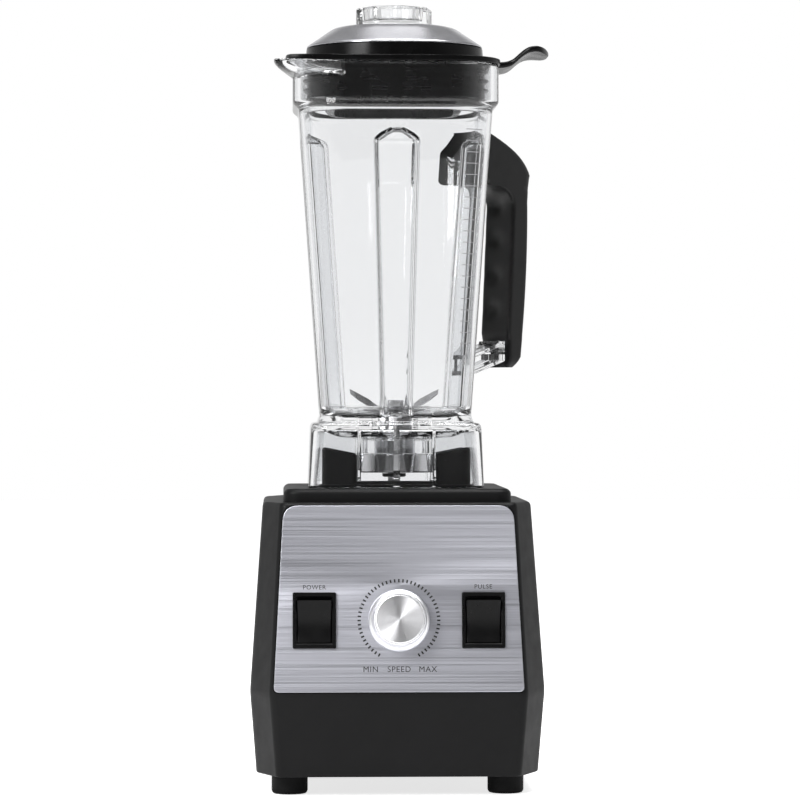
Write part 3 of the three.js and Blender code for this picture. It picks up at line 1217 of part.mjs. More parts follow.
function makeFillerCap() {
  const headBottom = DOME_TOP + GAP;
  const headTop = headBottom + CAP_HEAD_HEIGHT;
  const pocketBottom = headTop - CAP_POCKET_DEPTH;
  const head = cylinder(CAP_HEAD_RADIUS, headBottom, headTop, 8);
  // The octagon's corners stand a little forward of the front and side lines.
  head.rotateZ(THREE.MathUtils.degToRad(10.4));
  const neck = cylinder(CAP_NECK_RADIUS, PLUG_BOTTOM, headBottom + 1, MANY_SIDES);
  const neckInside = CAP_NECK_RADIUS - CAP_NECK_WALL;
  const hollow = cylinder(neckInside, PLUG_BOTTOM - 1, pocketBottom - CAP_POCKET_FLOOR, MANY_SIDES);
  const pocket = cylinder(CAP_POCKET_RADIUS - 1, pocketBottom, headTop + 1, MANY_SIDES, CAP_POCKET_RADIUS);
  return cut(join(head, neck), hollow, pocket);
}

// ---------------------------------------------------------------- assembly
add("base_housing", makeHousing(), blackPlastic);
add("bottom_cover", makeBottomCover(), blackPlastic);
for (const [place, x, y] of footPlaces) {
  add(`foot_${place}`, makeFoot(), blackRubber).position.set(x, y, 0);
  add(`foot_screw_${place}`, makeFootScrew(), stainlessSteel).position.set(x, y, 0);
}
add("cord_gland", makeCordGland(), blackRubber);
add("control_board", makeControlBoard(), boardGreen);
add("centering_pad", makeCenteringPad(), blackRubber);

add("control_panel", makeControlPanel(), brushedAluminium, face);
for (const [name, x] of [["power", -switchX], ["pulse", switchX]]) {
  add(`${name}_switch_body`, makeSwitchBody(), blackPlastic, face).position.set(x, CONTROL_ROW, 0);
  add(`${name}_rocker`, makeRocker(), blackPlastic, face).position.set(x, CONTROL_ROW, ROCKER_PIVOT);
}
add("speed_potentiometer", makePotentiometer(), castAluminium, face).position.set(0, CONTROL_ROW, 0);
const potShaft = cylinder(POT_SHAFT_RADIUS, POT_BACK - 6.5, KNOB_BOTTOM + KNOB_BORE_DEPTH - 0.5, 16);
add("pot_shaft", potShaft, castAluminium, face).position.set(0, CONTROL_ROW, 0);
add("speed_knob", makeKnob(), blackPlastic, face).position.set(0, CONTROL_ROW, 0);
add("knob_face", makeKnobFace(), brushedAluminium, face).position.set(0, CONTROL_ROW, 0);

add("motor_lower_bracket", makeLowerBracket(), castAluminium);
add("motor_upper_bracket", makeUpperBracket(), castAluminium);
add("stator_core", makeStator(), laminatedSteel);
add("field_winding_front", makeWinding(-1), copperWire);
add("field_winding_rear", makeWinding(1), copperWire);
const motorBore = SHAFT_RADIUS + SHAFT_FIT;
for (const [place, z] of [["lower", LOWER_BEARING_Z], ["upper", UPPER_BEARING_Z]]) {
  add(`motor_bearing_${place}`, makeBearing(BEARING_RADIUS, motorBore, z, BEARING_WIDTH), stainlessSteel);
}
for (const [place, side] of [["left", -1], ["right", 1]]) {
  add(`brush_holder_${place}`, makeBrushHolder(side), brass);
  add(`carbon_brush_${place}`, makeBrush(side), carbon);
}
add("motor_shaft", makeMotorShaft(), stainlessSteel);
add("armature", makeArmature(), laminatedSteel);
add("commutator", makeCommutator(), brass);
add("cooling_fan", makeFan(), blackPlastic);
add("drive_coupler", makeCoupler(), stainlessSteel);

add("jar_body", makeJar(), clearPlastic);
add("handle", makeHandle(), blackPlastic);
add("handle_screw", makeHandleScrew(), stainlessSteel, corner);
add("bearing_housing", makeBearingHousing(), stainlessSteel);
add("retaining_nut", makeRetainingNut(), stainlessSteel);
const gasketBore = BEARING_HOUSING_RADIUS + GAP;
const gasketTop = GASKET_BOTTOM + GASKET_THICKNESS;
add("floor_gasket", ring(HOUSING_FLANGE_RADIUS, gasketBore, GASKET_BOTTOM, gasketTop), blackRubber);
const bladeBore = BLADE_SHAFT_RADIUS + SHAFT_FIT;
const lowBearing = makeBearing(BLADE_BEARING_RADIUS, bladeBore, HOUSING_LOW, BLADE_BEARING_WIDTH);
add("blade_bearing_lower", lowBearing, stainlessSteel);
const highBearingZ = HOUSING_FLANGE_TOP - 4.6 - BLADE_BEARING_WIDTH;
const highBearing = makeBearing(BLADE_BEARING_RADIUS, bladeBore, highBearingZ, BLADE_BEARING_WIDTH);
add("blade_bearing_upper", highBearing, stainlessSteel);
add("blade_seal", makeBladeSeal(), blackRubber);

add("blade_shaft", makeBladeShaft(), stainlessSteel);
add("drive_hub", makeDriveHub(), blackPlastic);
const washerTop = BLADE_STACK + WASHER_THICKNESS;
const washerBore = BLADE_SHAFT_RADIUS + BLADE_FIT;
add("blade_washer", ring(WASHER_RADIUS, washerBore, BLADE_STACK, washerTop), stainlessSteel);
add("blade_lower", makeBlade(0, 21, -1.4, THREE.MathUtils.degToRad(-52)), stainlessSteel);
add("blade_middle", makeBlade(1, 12, 0.6, THREE.MathUtils.degToRad(40)), stainlessSteel);
add("blade_upper", makeBlade(2, 9, 11, THREE.MathUtils.degToRad(-8)), stainlessSteel);
add("blade_nut", makeBladeNut(), stainlessSteel);

add("lid_base", makeLidBase(), blackRubber);
add("lid_cover", makeLidCover(), silverPlastic);
add("cap_seal", makeCapSeal(), blackRubber);
add("filler_cap", makeFillerCap(), clearPlastic);

// Origin in the middle of the footprint, on the surface that the feet stand on.
blender.updateMatrixWorld(true);
const bounds = new THREE.Box3().setFromObject(blender, true);
const middle = bounds.getCenter(new THREE.Vector3());
blender.position.set(-middle.x, -middle.y, -bounds.min.z);

export default blender;
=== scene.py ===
"""Studio scene of the countertop blender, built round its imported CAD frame.

Shapes are worked out in millimetres about the drive axis, with Z = 0 on the surface that
the feet stand on, and are turned into metres in the frame's own axes as they are made.
"""
import json
import math

import bmesh
import bpy
import numpy as np
from mathutils import Matrix, Vector


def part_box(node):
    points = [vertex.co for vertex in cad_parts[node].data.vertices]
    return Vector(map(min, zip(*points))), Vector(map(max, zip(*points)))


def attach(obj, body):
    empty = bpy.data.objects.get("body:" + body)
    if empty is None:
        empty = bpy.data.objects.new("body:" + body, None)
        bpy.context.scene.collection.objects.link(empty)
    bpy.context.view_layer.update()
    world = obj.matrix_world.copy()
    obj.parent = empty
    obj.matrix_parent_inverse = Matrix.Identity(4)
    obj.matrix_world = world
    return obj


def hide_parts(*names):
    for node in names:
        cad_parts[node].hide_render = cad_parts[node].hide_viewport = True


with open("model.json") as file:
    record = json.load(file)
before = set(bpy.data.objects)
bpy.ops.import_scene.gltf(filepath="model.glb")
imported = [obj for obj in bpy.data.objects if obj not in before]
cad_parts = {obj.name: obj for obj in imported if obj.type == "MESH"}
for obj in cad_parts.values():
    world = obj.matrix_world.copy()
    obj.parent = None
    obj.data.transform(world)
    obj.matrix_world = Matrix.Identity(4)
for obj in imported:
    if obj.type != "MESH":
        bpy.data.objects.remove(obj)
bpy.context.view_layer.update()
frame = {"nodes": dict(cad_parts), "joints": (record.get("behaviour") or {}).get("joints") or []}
scene = bpy.context.scene

MM = 0.001
JOINTS = {joint["name"]: joint for joint in frame["joints"]}
axis_x, axis_y, _ = JOINTS["motor_spin"]["pos_m"]
AXIS = np.array([axis_x, axis_y, 0.0])


def extent(node):
    """Lowest and highest corner of a CAD node, in millimetres about the drive axis."""
    low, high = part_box(node)
    return (np.array(low) - AXIS) / MM, (np.array(high) - AXIS) / MM


def centre(node):
    low, high = extent(node)
    return (low + high) / 2


def in_frame(matrix):
    """A matrix in millimetres about the drive axis, turned into the frame's metres."""
    return Matrix.Translation(matrix.translation * MM + Vector(AXIS)) @ matrix.to_3x3().to_4x4()


def rotation(degrees, axis="Z"):
    return Matrix.Rotation(math.radians(degrees), 4, axis)


# ---- camera
CAMERA_DISTANCE = 2170
CAMERA_HEIGHT = 247.1
CAMERA_TURN = math.radians(-2)
CAMERA_SIDESTEP = 3.9
LENS = 150


def add_camera():
    right = np.array([math.cos(CAMERA_TURN), math.sin(CAMERA_TURN), 0])
    back = np.array([math.sin(CAMERA_TURN), -math.cos(CAMERA_TURN), 0])
    place = back * CAMERA_DISTANCE + right * CAMERA_SIDESTEP + np.array([0, 0, CAMERA_HEIGHT])
    data = bpy.data.cameras.new("camera")
    data.lens = LENS
    data.clip_end = 50
    camera = bpy.data.objects.new("camera", data)
    camera.location = place * MM + AXIS
    camera.rotation_euler = (math.pi / 2, 0, CAMERA_TURN)
    scene.collection.objects.link(camera)
    scene.camera = camera


# ---- finishes
def feed_socket(tree, target, value):
    """Links an output to a socket, or sets the socket's own value."""
    if isinstance(value, bpy.types.NodeSocket):
        tree.links.new(value, target)
    else:
        target.default_value = value


def add_node(tree, kind, operation=None, **inputs):
    """A node with its inputs by name; with an operation, first and second are its operands."""
    made = tree.nodes.new(kind)
    if operation:
        made.operation = operation
    places = {"first": 0, "second": 1}
    for socket, value in inputs.items():
        feed_socket(tree, made.inputs[places.get(socket, socket.replace("_", " "))], value)
    return made


class Finish:
    """A node material about the Principled shader, with short calls for what feeds it."""

    def __init__(self, name, colour, roughness, **settings):
        self.material = bpy.data.materials.new(name)
        self.material.use_nodes = True
        self.tree = self.material.node_tree
        self.shader = self.tree.nodes["Principled BSDF"]
        self.set("Base Color", (*colour, 1))
        self.set("Roughness", roughness)
        for socket, value in settings.items():
            self.set(socket.replace("_", " "), value)

    def set(self, socket, value):
        self.shader.inputs[socket].default_value = value

    def node(self, kind, operation=None, **inputs):
        return add_node(self.tree, kind, operation, **inputs)

    def place(self, stretch=(1, 1, 1)):
        coordinates = self.node("ShaderNodeTexCoord").outputs["Object"]
        return self.node("ShaderNodeMapping", Vector=coordinates, Scale=stretch).outputs[0]

    def noise(self, scale, stretch=(1, 1, 1), detail=3.0, vector=None):
        where = self.place(stretch) if vector is None else vector
        return self.node("ShaderNodeTexNoise", Vector=where, Scale=scale, Detail=detail).outputs["Fac"]

    def waves(self, scale, direction, distortion=0.0):
        wave = self.node("ShaderNodeTexWave", Vector=self.place(), Scale=scale, Distortion=distortion)
        wave.bands_direction = direction
        return wave.outputs["Fac"]

    def span(self, fac, low, high, start=0.3, stop=0.7):
        inputs = {"Value": fac, "From_Min": start, "From_Max": stop, "To_Min": low, "To_Max": high}
        return self.node("ShaderNodeMapRange", **inputs).outputs[0]

    def blend(self, fac, first, second, start=0.0, stop=1.0):
        ramp = self.node("ShaderNodeValToRGB", Fac=fac)
        for element, colour, position in zip(ramp.color_ramp.elements, (first, second), (start, stop)):
            element.color = (*colour, 1)
            element.position = position
        return ramp.outputs["Color"]

    def feed(self, socket, source):
        self.tree.links.new(source, self.shader.inputs[socket])

    def paint(self, tone, roughness, *layers):
        self.feed("Base Color", tone)
        self.feed("Roughness", roughness)
        self.bump(*layers)
        return self.material

    def bump(self, *layers):
        """Layers of (height, depth in metres), each laid over the one before."""
        normal = None
        for height, depth in layers:
            under = {"Normal": normal} if normal else {}
            made = self.node("ShaderNodeBump", Height=height, Distance=depth, Strength=1.0, **under)
            normal = made.outputs["Normal"]
        self.feed("Normal", normal)


def shade(colour, factor):
    return tuple(min(1.0, channel * factor) for channel in colour)


def moulded(name, colour, roughness, grain, depth, spread=0.08, **settings):
    """Moulded plastic or rubber: a fine grain, soft roughness patches and faint tone shifts."""
    finish = Finish(name, colour, roughness, **settings)
    patches = finish.noise(35, detail=4)
    tone = finish.blend(patches, shade(colour, 0.85), shade(colour, 1.15))
    gloss = finish.span(finish.noise(90), roughness - spread, roughness + spread)
    return finish.paint(tone, gloss, (finish.noise(grain, detail=2), depth), (patches, depth * 2))


def brushed(name, colour, roughness, stretch):
    """Brushed metal: long fine scratches along one direction."""
    finish = Finish(name, colour, roughness, Metallic=1.0, Anisotropic=0.5)
    grain = finish.noise(1.0, stretch, detail=5)
    tone = finish.blend(grain, shade(colour, 0.9), shade(colour, 1.07), 0.25, 0.75)
    return finish.paint(tone, finish.span(grain, roughness - 0.07, roughness + 0.07), (grain, 0.000004))


def spun(name, colour, roughness):
    """Metal brushed in circles round its own Z, so that each ring catches its own light."""
    finish = Finish(name, colour, roughness, Metallic=1.0, Anisotropic=0.85)
    tangent = finish.node("ShaderNodeTangent")
    tangent.direction_type = "RADIAL"
    tangent.axis = "Z"
    finish.feed("Tangent", tangent.outputs[0])
    place = finish.node("ShaderNodeTexCoord").outputs["Object"]
    flat = finish.node("ShaderNodeVectorMath", "MULTIPLY", first=place, second=(1, 1, 0)).outputs[0]
    length = finish.node("ShaderNodeVectorMath", "LENGTH", first=flat).outputs["Value"]
    radius = finish.node("ShaderNodeCombineXYZ", X=length).outputs[0]
    rings = finish.noise(2600, vector=radius, detail=4)
    tone = finish.blend(rings, shade(colour, 0.92), shade(colour, 1.05))
    return finish.paint(tone, finish.span(rings, roughness - 0.05, roughness + 0.05), (rings, 0.000003))


def clear(name, face, edge, waviness):
    """Clear moulded plastic with faint flow waves. Its colour is darkened towards the edge colour where the
    wall is seen along its length: painted shade for the dark edges of the clear walls.
    """
    finish = Finish(name, face, 0.015, Transmission_Weight=1.0, IOR=1.5)
    # Painted shade: the colour runs from the face colour to the darker edge colour as the wall turns edge-on.
    facing = finish.node("ShaderNodeLayerWeight", Blend=0.42).outputs["Facing"]
    flow = finish.noise(38, (1, 1, 0.35), detail=1)
    return finish.paint(finish.blend(facing, face, edge, 0.4), finish.span(flow, 0.0, 0.03), (flow, waviness))


def laminated():
    """Stacked iron sheets."""
    finish = Finish("laminated_iron", (0.2, 0.2, 0.21), 0.5, Metallic=0.8)
    layers = finish.waves(1000, "Z")
    tone = finish.blend(layers, (0.1, 0.1, 0.105), (0.26, 0.26, 0.27))
    return finish.paint(tone, finish.span(finish.noise(300), 0.4, 0.65), (layers, 0.00005))


def wound():
    """Layers of enamelled copper wire."""
    finish = Finish("wound_copper", (0.55, 0.22, 0.1), 0.3, Metallic=0.9)
    strands = finish.waves(520, "DIAGONAL", 1.5)
    tone = finish.blend(strands, (0.3, 0.09, 0.035), (0.72, 0.3, 0.14))
    return finish.paint(tone, finish.span(finish.noise(120), 0.22, 0.45), (strands, 0.0001))


def circuit():
    finish = Finish("circuit_board", (0.01, 0.1, 0.04), 0.35)
    tracks = finish.noise(260, (1, 1, 0.2), detail=1)
    tone = finish.blend(tracks, (0.006, 0.07, 0.03), (0.02, 0.17, 0.07))
    return finish.paint(tone, finish.span(tracks, 0.25, 0.5), (tracks, 0.00004))


def make_blacks():
    """Black plastics and rubbers: share of the black, roughness, grain, its depth, its sheen."""
    black = (0.0062, 0.0062, 0.0065)
    kinds = {
        "handle": ("handle_black", 0.7, 0.4, 1800, 0.000012, 0.3),
        "switch": ("switch_black", 0.5, 0.33, 2500, 0.000006, 0.15),
        "rubber": ("rubber_black", 0.6, 0.5, 900, 0.00001, 0.12),
        "lid": ("lid_rubber", 0.3, 0.24, 700, 0.000008, 0.15),
        "foot": ("foot_rubber", 0.8, 0.6, 700, 0.00003, 0.13),
    }
    made = {"housing": moulded("housing_black", black, 0.45, 1600, 0.000007, 0.04, Specular_IOR_Level=0.13)}
    for look, (name, share, roughness, grain, depth, sheen) in kinds.items():
        made[look] = moulded(name, shade(black, share), roughness, grain, depth, Specular_IOR_Level=sheen)
    return made


def make_finishes():
    steel = (0.62, 0.62, 0.63)
    return {
        **make_blacks(),
        "ink": moulded("printing_ink", (0.008, 0.008, 0.009), 0.55, 3000, 0.000002),
        "carbon": moulded("carbon_black", (0.02, 0.02, 0.022), 0.7, 2200, 0.00003),
        "mark": moulded("graduation_print", (0.3, 0.3, 0.31), 0.5, 3000, 0.000002),
        "silver": moulded("satin_silver", (0.62, 0.62, 0.65), 0.2, 2600, 0.000002, 0.04, Metallic=0.9),
        "cast": moulded("cast_aluminium", (0.55, 0.55, 0.56), 0.5, 500, 0.00005, Metallic=0.9),
        "panel": brushed("brushed_aluminium", (0.63, 0.635, 0.695), 0.38, (6, 60, 1900)),
        "steel": brushed("brushed_steel", steel, 0.22, (900, 900, 40)),
        # The blades' steel is darker than the other steel: painted shade standing in for the dark
        # surroundings the blades reflect.
        "blade": brushed("ground_steel_painted_dark", (0.26, 0.26, 0.27), 0.3, (1400, 60, 1400)),
        "brass": brushed("brass", (0.6, 0.42, 0.14), 0.3, (500, 60, 500)),
        "spun": spun("spun_aluminium", (0.93, 0.93, 0.95), 0.34),
        "turned": spun("turned_steel", steel, 0.2),
        "iron": laminated(),
        "copper": wound(),
        "board": circuit(),
        # The second colour of each clear finish is painted shade, laid where its wall is seen edge-on.
        "jar": clear("clear_jar", (0.955, 0.96, 0.967), (0.5, 0.52, 0.55), 0.00007),
        "cap": clear("clear_cap", (0.97, 0.975, 0.98), (0.45, 0.46, 0.48), 0.00006),
    }


FINISHES = make_finishes()


# ---- rings and outlines
def soften(path, radii, closed=False, steps=5):
    """A path of points or of whole rings, with each inner corner turned into a curve that
    starts and ends the given distance from it."""
    count = len(path)
    path = [np.atleast_2d(np.asarray(stop, float)) for stop in path]
    made = []
    for i, here in enumerate(path):
        radius = radii[i] if hasattr(radii, "__len__") else radii
        at_end = not closed and i in (0, count - 1)
        if at_end or radius <= 0:
            made.append(here)
            continue
        back = path[i - 1] - here
        on = path[(i + 1) % count] - here
        back_length = np.linalg.norm(back, axis=1, keepdims=True) + 1e-9
        on_length = np.linalg.norm(on, axis=1, keepdims=True) + 1e-9
        start = here + back / back_length * np.minimum(radius, back_length * 0.49)
        stop = here + on / on_length * np.minimum(radius, on_length * 0.49)
        for t in np.linspace(0, 1, steps + 1):
            made.append((1 - t) ** 2 * start + 2 * t * (1 - t) * here + t * t * stop)
    return made


def outline(corners, radii, steps=6):
    """Closed 2-D outline with rounded corners, as an array of points."""
    return np.concatenate(soften([np.array(corner) for corner in corners], radii, True, steps))


def rectangle(half_x, half_y):
    return [(-half_x, -half_y), (half_x, -half_y), (half_x, half_y), (-half_x, half_y)]


def level(points, z):
    return np.column_stack([points, np.full(len(points), z)])


def circle(radius, z, sides=96, turn=0.0):
    angles = np.linspace(0, 2 * math.pi, sides, endpoint=False) + turn
    return np.column_stack([radius * np.cos(angles), radius * np.sin(angles), np.full(sides, z)])


def shrunk(points, amount):
    """A closed 2-D outline moved inwards by an amount."""
    onward = np.roll(points, -1, axis=0) - points
    onward /= np.linalg.norm(onward, axis=1, keepdims=True) + 1e-9
    before = np.roll(onward, 1, axis=0)
    along = onward + before
    along /= np.linalg.norm(along, axis=1, keepdims=True) + 1e-9
    inward = np.column_stack([-along[:, 1], along[:, 0]])
    stretch = np.clip(np.sum(along * onward, axis=1), 0.4, 1)[:, None]
    return points + inward * amount / stretch


def slab_rings(points, z0, z1, low_edge, high_edge):
    """Rings of an extruded outline (anticlockwise) with rounded lower and upper edges."""
    inner = level(shrunk(points, max(low_edge, 0.05) * 2), z0)
    top = level(shrunk(points, max(high_edge, 0.05) * 2), z1)
    path = [inner, level(points, z0), level(points, z1), top]
    return soften(path, [0, low_edge, high_edge, 0])


def slab_edge(half, radius, steps=4):
    """Places across a slab and how far its outline draws in there, for rounded edges."""
    turns = np.linspace(0, math.pi / 2, steps + 1)
    low = [(-half + radius * (1 - math.sin(t)), radius * (1 - math.cos(t))) for t in turns[::-1]]
    return low + [(-across, inset) for across, inset in reversed(low)]


BEAK_ROUNDING = 0.006
BEAK_REACH = 1.06


def corner_arc(half, radius, turns, beak=0.0):
    """Corner of a square as an arc; a beak draws its middle outwards."""
    arc = half - radius + radius * np.column_stack([np.cos(turns), np.sin(turns)])
    share = np.sqrt((turns / (math.pi / 4) - 1) ** 2 + BEAK_ROUNDING)
    return arc + (beak * math.sqrt(0.5) * np.clip(BEAK_REACH - share, 0, 1))[:, None]


def quarter_turned(points, side):
    cos, sin = [(1, 0), (0, 1), (-1, 0), (0, -1)][side]
    x, y = points.T
    return np.column_stack([x * cos - y * sin, x * sin + y * cos])


def arc_square(half, radius, steps, beak=0.0):
    """Square with true round corners, anticlockwise; a beak draws the front-left one out."""
    turns = np.linspace(0, math.pi / 2, steps + 1)
    corners = [corner_arc(half, radius, turns, beak if side == 2 else 0) for side in range(4)]
    return np.concatenate([quarter_turned(corner, side) for side, corner in enumerate(corners)])


# ---- meshes
def new_object(name, points, faces, matrix=None):
    """A mesh object in the frame, from points in millimetres about the drive axis."""
    placed = np.asarray(points, float)
    if matrix is not None:
        placed = placed @ np.array(matrix.to_3x3()).T + np.array(matrix.translation)
    mesh = bpy.data.meshes.new(name)
    mesh.from_pydata((placed * MM + AXIS).tolist(), [], faces)
    work = bmesh.new()
    work.from_mesh(mesh)
    bmesh.ops.remove_doubles(work, verts=work.verts, dist=2e-6)
    bmesh.ops.dissolve_degenerate(work, dist=1e-6, edges=work.edges)
    bmesh.ops.recalc_face_normals(work, faces=work.faces)
    work.to_mesh(mesh)
    work.free()
    obj = bpy.data.objects.new(name, mesh)
    scene.collection.objects.link(obj)
    return obj


def skin_faces(rows, count, loop):
    """Faces between rings with equal counts: capped at both ends, or a loop."""
    faces = []
    for row in range(rows if loop else rows - 1):
        low, high = row * count, (row + 1) % rows * count
        for i in range(count):
            j = (i + 1) % count
            faces.append((low + i, low + j, high + j, high + i))
    if not loop:
        last = (rows - 1) * count
        faces += [tuple(reversed(range(count))), tuple(range(last, last + count))]
    return faces


def skin(rings, loop=False, matrix=None):
    """Closed surface through rings with equal counts."""
    return new_object("piece", np.concatenate(rings), skin_faces(len(rings), len(rings[0]), loop), matrix)


def skin_each(name, solids, matrix=None):
    """One object of many small closed solids, each given by its rings."""
    points, faces = [], []
    for rings in solids:
        first = len(points)
        points += [point for ring in rings for point in ring]
        faces += [tuple(first + i for i in face) for face in skin_faces(len(rings), len(rings[0]), False)]
    return new_object(name, points, faces, matrix)


def turned(profile, radii, sides=96, matrix=None):
    """Turned solid from [radius, z] corners, each rounded; off the axis it closes on itself."""
    solid_core = profile[0][0] == 0
    stops = soften(profile, radii, closed=not solid_core, steps=4)
    rings = [circle(max(stop[0, 0], 0.02), stop[0, 1], sides) for stop in stops]
    return skin(rings, loop=not solid_core, matrix=matrix)


def rod(radius, z0, z1, sides=96, matrix=None):
    return turned([[0, z0], [radius, z0], [radius, z1], [0, z1]], 0, sides, matrix)


def block(x0, x1, y0, y1, z0, z1, edge=0.0, matrix=None):
    """Box with rounded edges all round."""
    corners = [(x0, y0), (x1, y0), (x1, y1), (x0, y1)]
    points = outline(corners, max(edge, 0.02), 4)
    return skin(slab_rings(points, z0, z1, edge, edge), matrix=matrix)


def combine(base, tool, how):
    """Joins or cuts one solid with another and returns the first."""
    modifier = base.modifiers.new("combine", "BOOLEAN")
    modifier.operation = how
    modifier.solver = "MANIFOLD"
    modifier.object = tool
    settle(base)
    bpy.data.objects.remove(tool)
    return base


def join(base, *tools):
    for tool in tools:
        combine(base, tool, "UNION")
    return base


def cut(base, *tools):
    for tool in tools:
        combine(base, tool, "DIFFERENCE")
    return base


def settle(obj):
    """Turns an object's modifiers into its mesh."""
    graph = bpy.context.evaluated_depsgraph_get()
    graph.update()
    mesh = bpy.data.meshes.new_from_object(obj.evaluated_get(graph))
    obj.modifiers.clear()
    obj.data = mesh


def smooth(obj, angle=30):
    obj.data.polygons.foreach_set("use_smooth", [True] * len(obj.data.polygons))
    obj.data.set_sharp_from_angle(angle=math.radians(angle))


def coat(obj, look):
    weighted = obj.modifiers.new("even_flats", "WEIGHTED_NORMAL")
    weighted.keep_sharp = True
    obj.data.materials.clear()
    obj.data.materials.append(FINISHES[look])


def finish_piece(obj, name, body, look, nodes=(), angle=30):
    """Names, smooths and paints a piece, ties it to its body and hides the CAD nodes it takes the place of.
    """
    obj.name = name
    obj.data.name = name
    smooth(obj, angle)
    coat(obj, look)
    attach(obj, body)
    if nodes:
        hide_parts(*nodes)


def centre_on(obj, matrix):
    """Gives a piece its own origin and turn, so that its finish can follow them."""
    own = in_frame(matrix)
    obj.data.transform(own.inverted())
    obj.matrix_world = own


# ---- leaning front face
# X runs across, Y up the face from the row of controls, and Z straight out of it.
knob_axis = Vector(JOINTS["speed_turn"]["axis"])
ACROSS = Vector((1, 0, 0))
UP_FACE = knob_axis.cross(ACROSS)
knob_place = (Vector(JOINTS["speed_turn"]["pos_m"]) - Vector(AXIS)) / MM


def face_matrix(x=0.0, y=0.0, z=0.0):
    turn = Matrix((ACROSS, UP_FACE, knob_axis)).transposed().to_4x4()
    place = knob_place + ACROSS * x + UP_FACE * y + knob_axis * z
    return Matrix.Translation(place) @ turn


FACE = face_matrix()
LEAN = math.asin(knob_axis.z)
CONTROL_ROW = 46
FACE_BOTTOM_HALF = 79.5
SHOULDER_RISE = 118.8
FACE_TOP_HALF = 73.3
FACE_LENGTH = SHOULDER_RISE / math.cos(LEAN)
PANEL_FRONT = -0.1
PANEL_THICKNESS = 2.0


def face_half(up):
    return FACE_BOTTOM_HALF + (FACE_TOP_HALF - FACE_BOTTOM_HALF) * up / FACE_LENGTH


def panel_outline(margin):
    """Outline of the control panel, drawn out by a margin, about the row of controls."""
    bottom = 1.4 - margin
    top = FACE_LENGTH - 1.8 + margin
    low_half = face_half(bottom) - 1.4 + margin
    high_half = face_half(top) - 1.4 + margin
    corners = [(-low_half, bottom), (low_half, bottom), (high_half, top), (-high_half, top)]
    corners = [(x, y - CONTROL_ROW) for x, y in corners]
    return outline(corners, [3.5, 3.5, 9.5, 9.5], 10)


# ---- housing
FACET_DEPTH = 29.0


def octagon(half, front, back, facet, z, wall=0.0):
    """Level of the housing: a rectangle with cut corners, each rounded."""
    x, y0, y1 = half - wall, front + wall, back - wall
    cut_x = facet - wall * 0.3
    cut_y = FACET_DEPTH - wall * 0.7
    corners = [
        (-x + cut_x, y0), (x - cut_x, y0), (x, y0 + cut_y), (x, y1 - cut_y),
        (x - cut_x, y1), (-x + cut_x, y1), (-x, y1 - cut_y), (-x, y0 + cut_y),
    ]
    return level(outline(corners, 3.5, 5), z)


def rounded_square(half, radius, z, steps=8):
    corners = [(half, -half), (half, half), (-half, half), (-half, -half)]
    return level(outline(corners, radius * 1.27, steps), z)


def make_housing():
    low, high = extent("base_housing")
    waist, shoulder, plinth_top = low[2] + 51.8, low[2] + 170.6, high[2]
    bottom = (89, -95, 95, 13.5)
    middle = (93, -99, 99, 13.5)
    top = (85, -85, 92, 11.7)
    shell = skin(soften([
        octagon(*bottom, low[2], 3), octagon(*bottom, low[2]), octagon(*middle, waist),
        octagon(*top, shoulder), octagon(*top, shoulder, 6),
    ], [0, 1.2, 3.0, 3.2, 0]))
    plinth = skin(soften([
        rounded_square(72, 8, shoulder - 2), rounded_square(72, 8, plinth_top - 2.2),
        rounded_square(69.6, 6.5, plinth_top), rounded_square(66, 5, plinth_top),
    ], [0, 1.4, 1.4, 0]))
    cavity = skin([
        octagon(*bottom, low[2] - 1, 3), octagon(*middle, waist, 5), octagon(*top, shoulder - 3, 7),
    ])
    recess_points = panel_outline(0.5)
    recess = skin([level(recess_points, -2.6), level(recess_points, 6)], matrix=FACE)
    well = rod(20, plinth_top - 8, plinth_top + 2)
    gland_x, _, gland_z = centre("cord_gland")
    gland_hole = rod(7.9, -12, 12, 48, Matrix.Translation((gland_x, 98, gland_z)) @ rotation(90, "X"))
    shell = cut(join(shell, plinth), cavity, recess, well, gland_hole)
    finish_piece(shell, "housing", "base", "housing", ["base_housing"])


def make_feet():
    for place in ("front_left", "front_right", "rear_left", "rear_right"):
        x, y, _ = centre(f"foot_{place}")
        top = extent(f"foot_{place}")[1][2]
        foot = turned([
            [4.8, 0], [10.4, 0], [11.35, 1.6], [11.35, top], [2.4, top], [2.4, 5.5], [4.8, 5.5],
        ], [0.3, 0.6, 0.6, 0.3, 0, 0, 0.3], 72, Matrix.Translation((x, y, 0)))
        finish_piece(foot, f"rubber_foot_{place}", "base", "foot", [f"foot_{place}"])


# ---- centering pad
POST_SIZE = 22.4
POST_OUTER = 47.4
POST_FALL = 4.4


def make_pad():
    """Plate with a boss and four posts, whose tops fall towards the middle of the machine."""
    (_, _, bottom), (half, _, top) = extent("centering_pad")
    plate = skin(slab_rings(rounded_square(half, 8, 0)[:, :2], bottom, bottom + 2, 0.2, 0.7))
    boss = skin(slab_rings(rounded_square(28, 5, 0)[:, :2], bottom + 0.5, bottom + 3.6, 0.2, 0.9))
    pad = join(plate, boss)
    inner = POST_OUTER - POST_SIZE
    foot = bottom + 6
    for quarter in range(4):
        corners = [(inner, inner), (POST_OUTER, inner), (POST_OUTER, POST_OUTER), (inner, POST_OUTER)]
        points = outline(corners, 4.0, 6)
        rings = slab_rings(points, bottom + 1, top, 0.2, 2.6)
        for ring in rings:
            share = (ring[:, quarter % 2] - inner) / POST_SIZE
            lift = np.clip((ring[:, 2] - foot) / (top - foot), 0, 1)
            ring[:, 2] -= POST_FALL * (1 - share) * lift
        pad = join(pad, skin(rings, matrix=rotation(90 * quarter)))
    pad = cut(pad, rod(16, bottom - 1, foot))
    finish_piece(pad, "jar_seat_pad", "base", "rubber", ["centering_pad"])


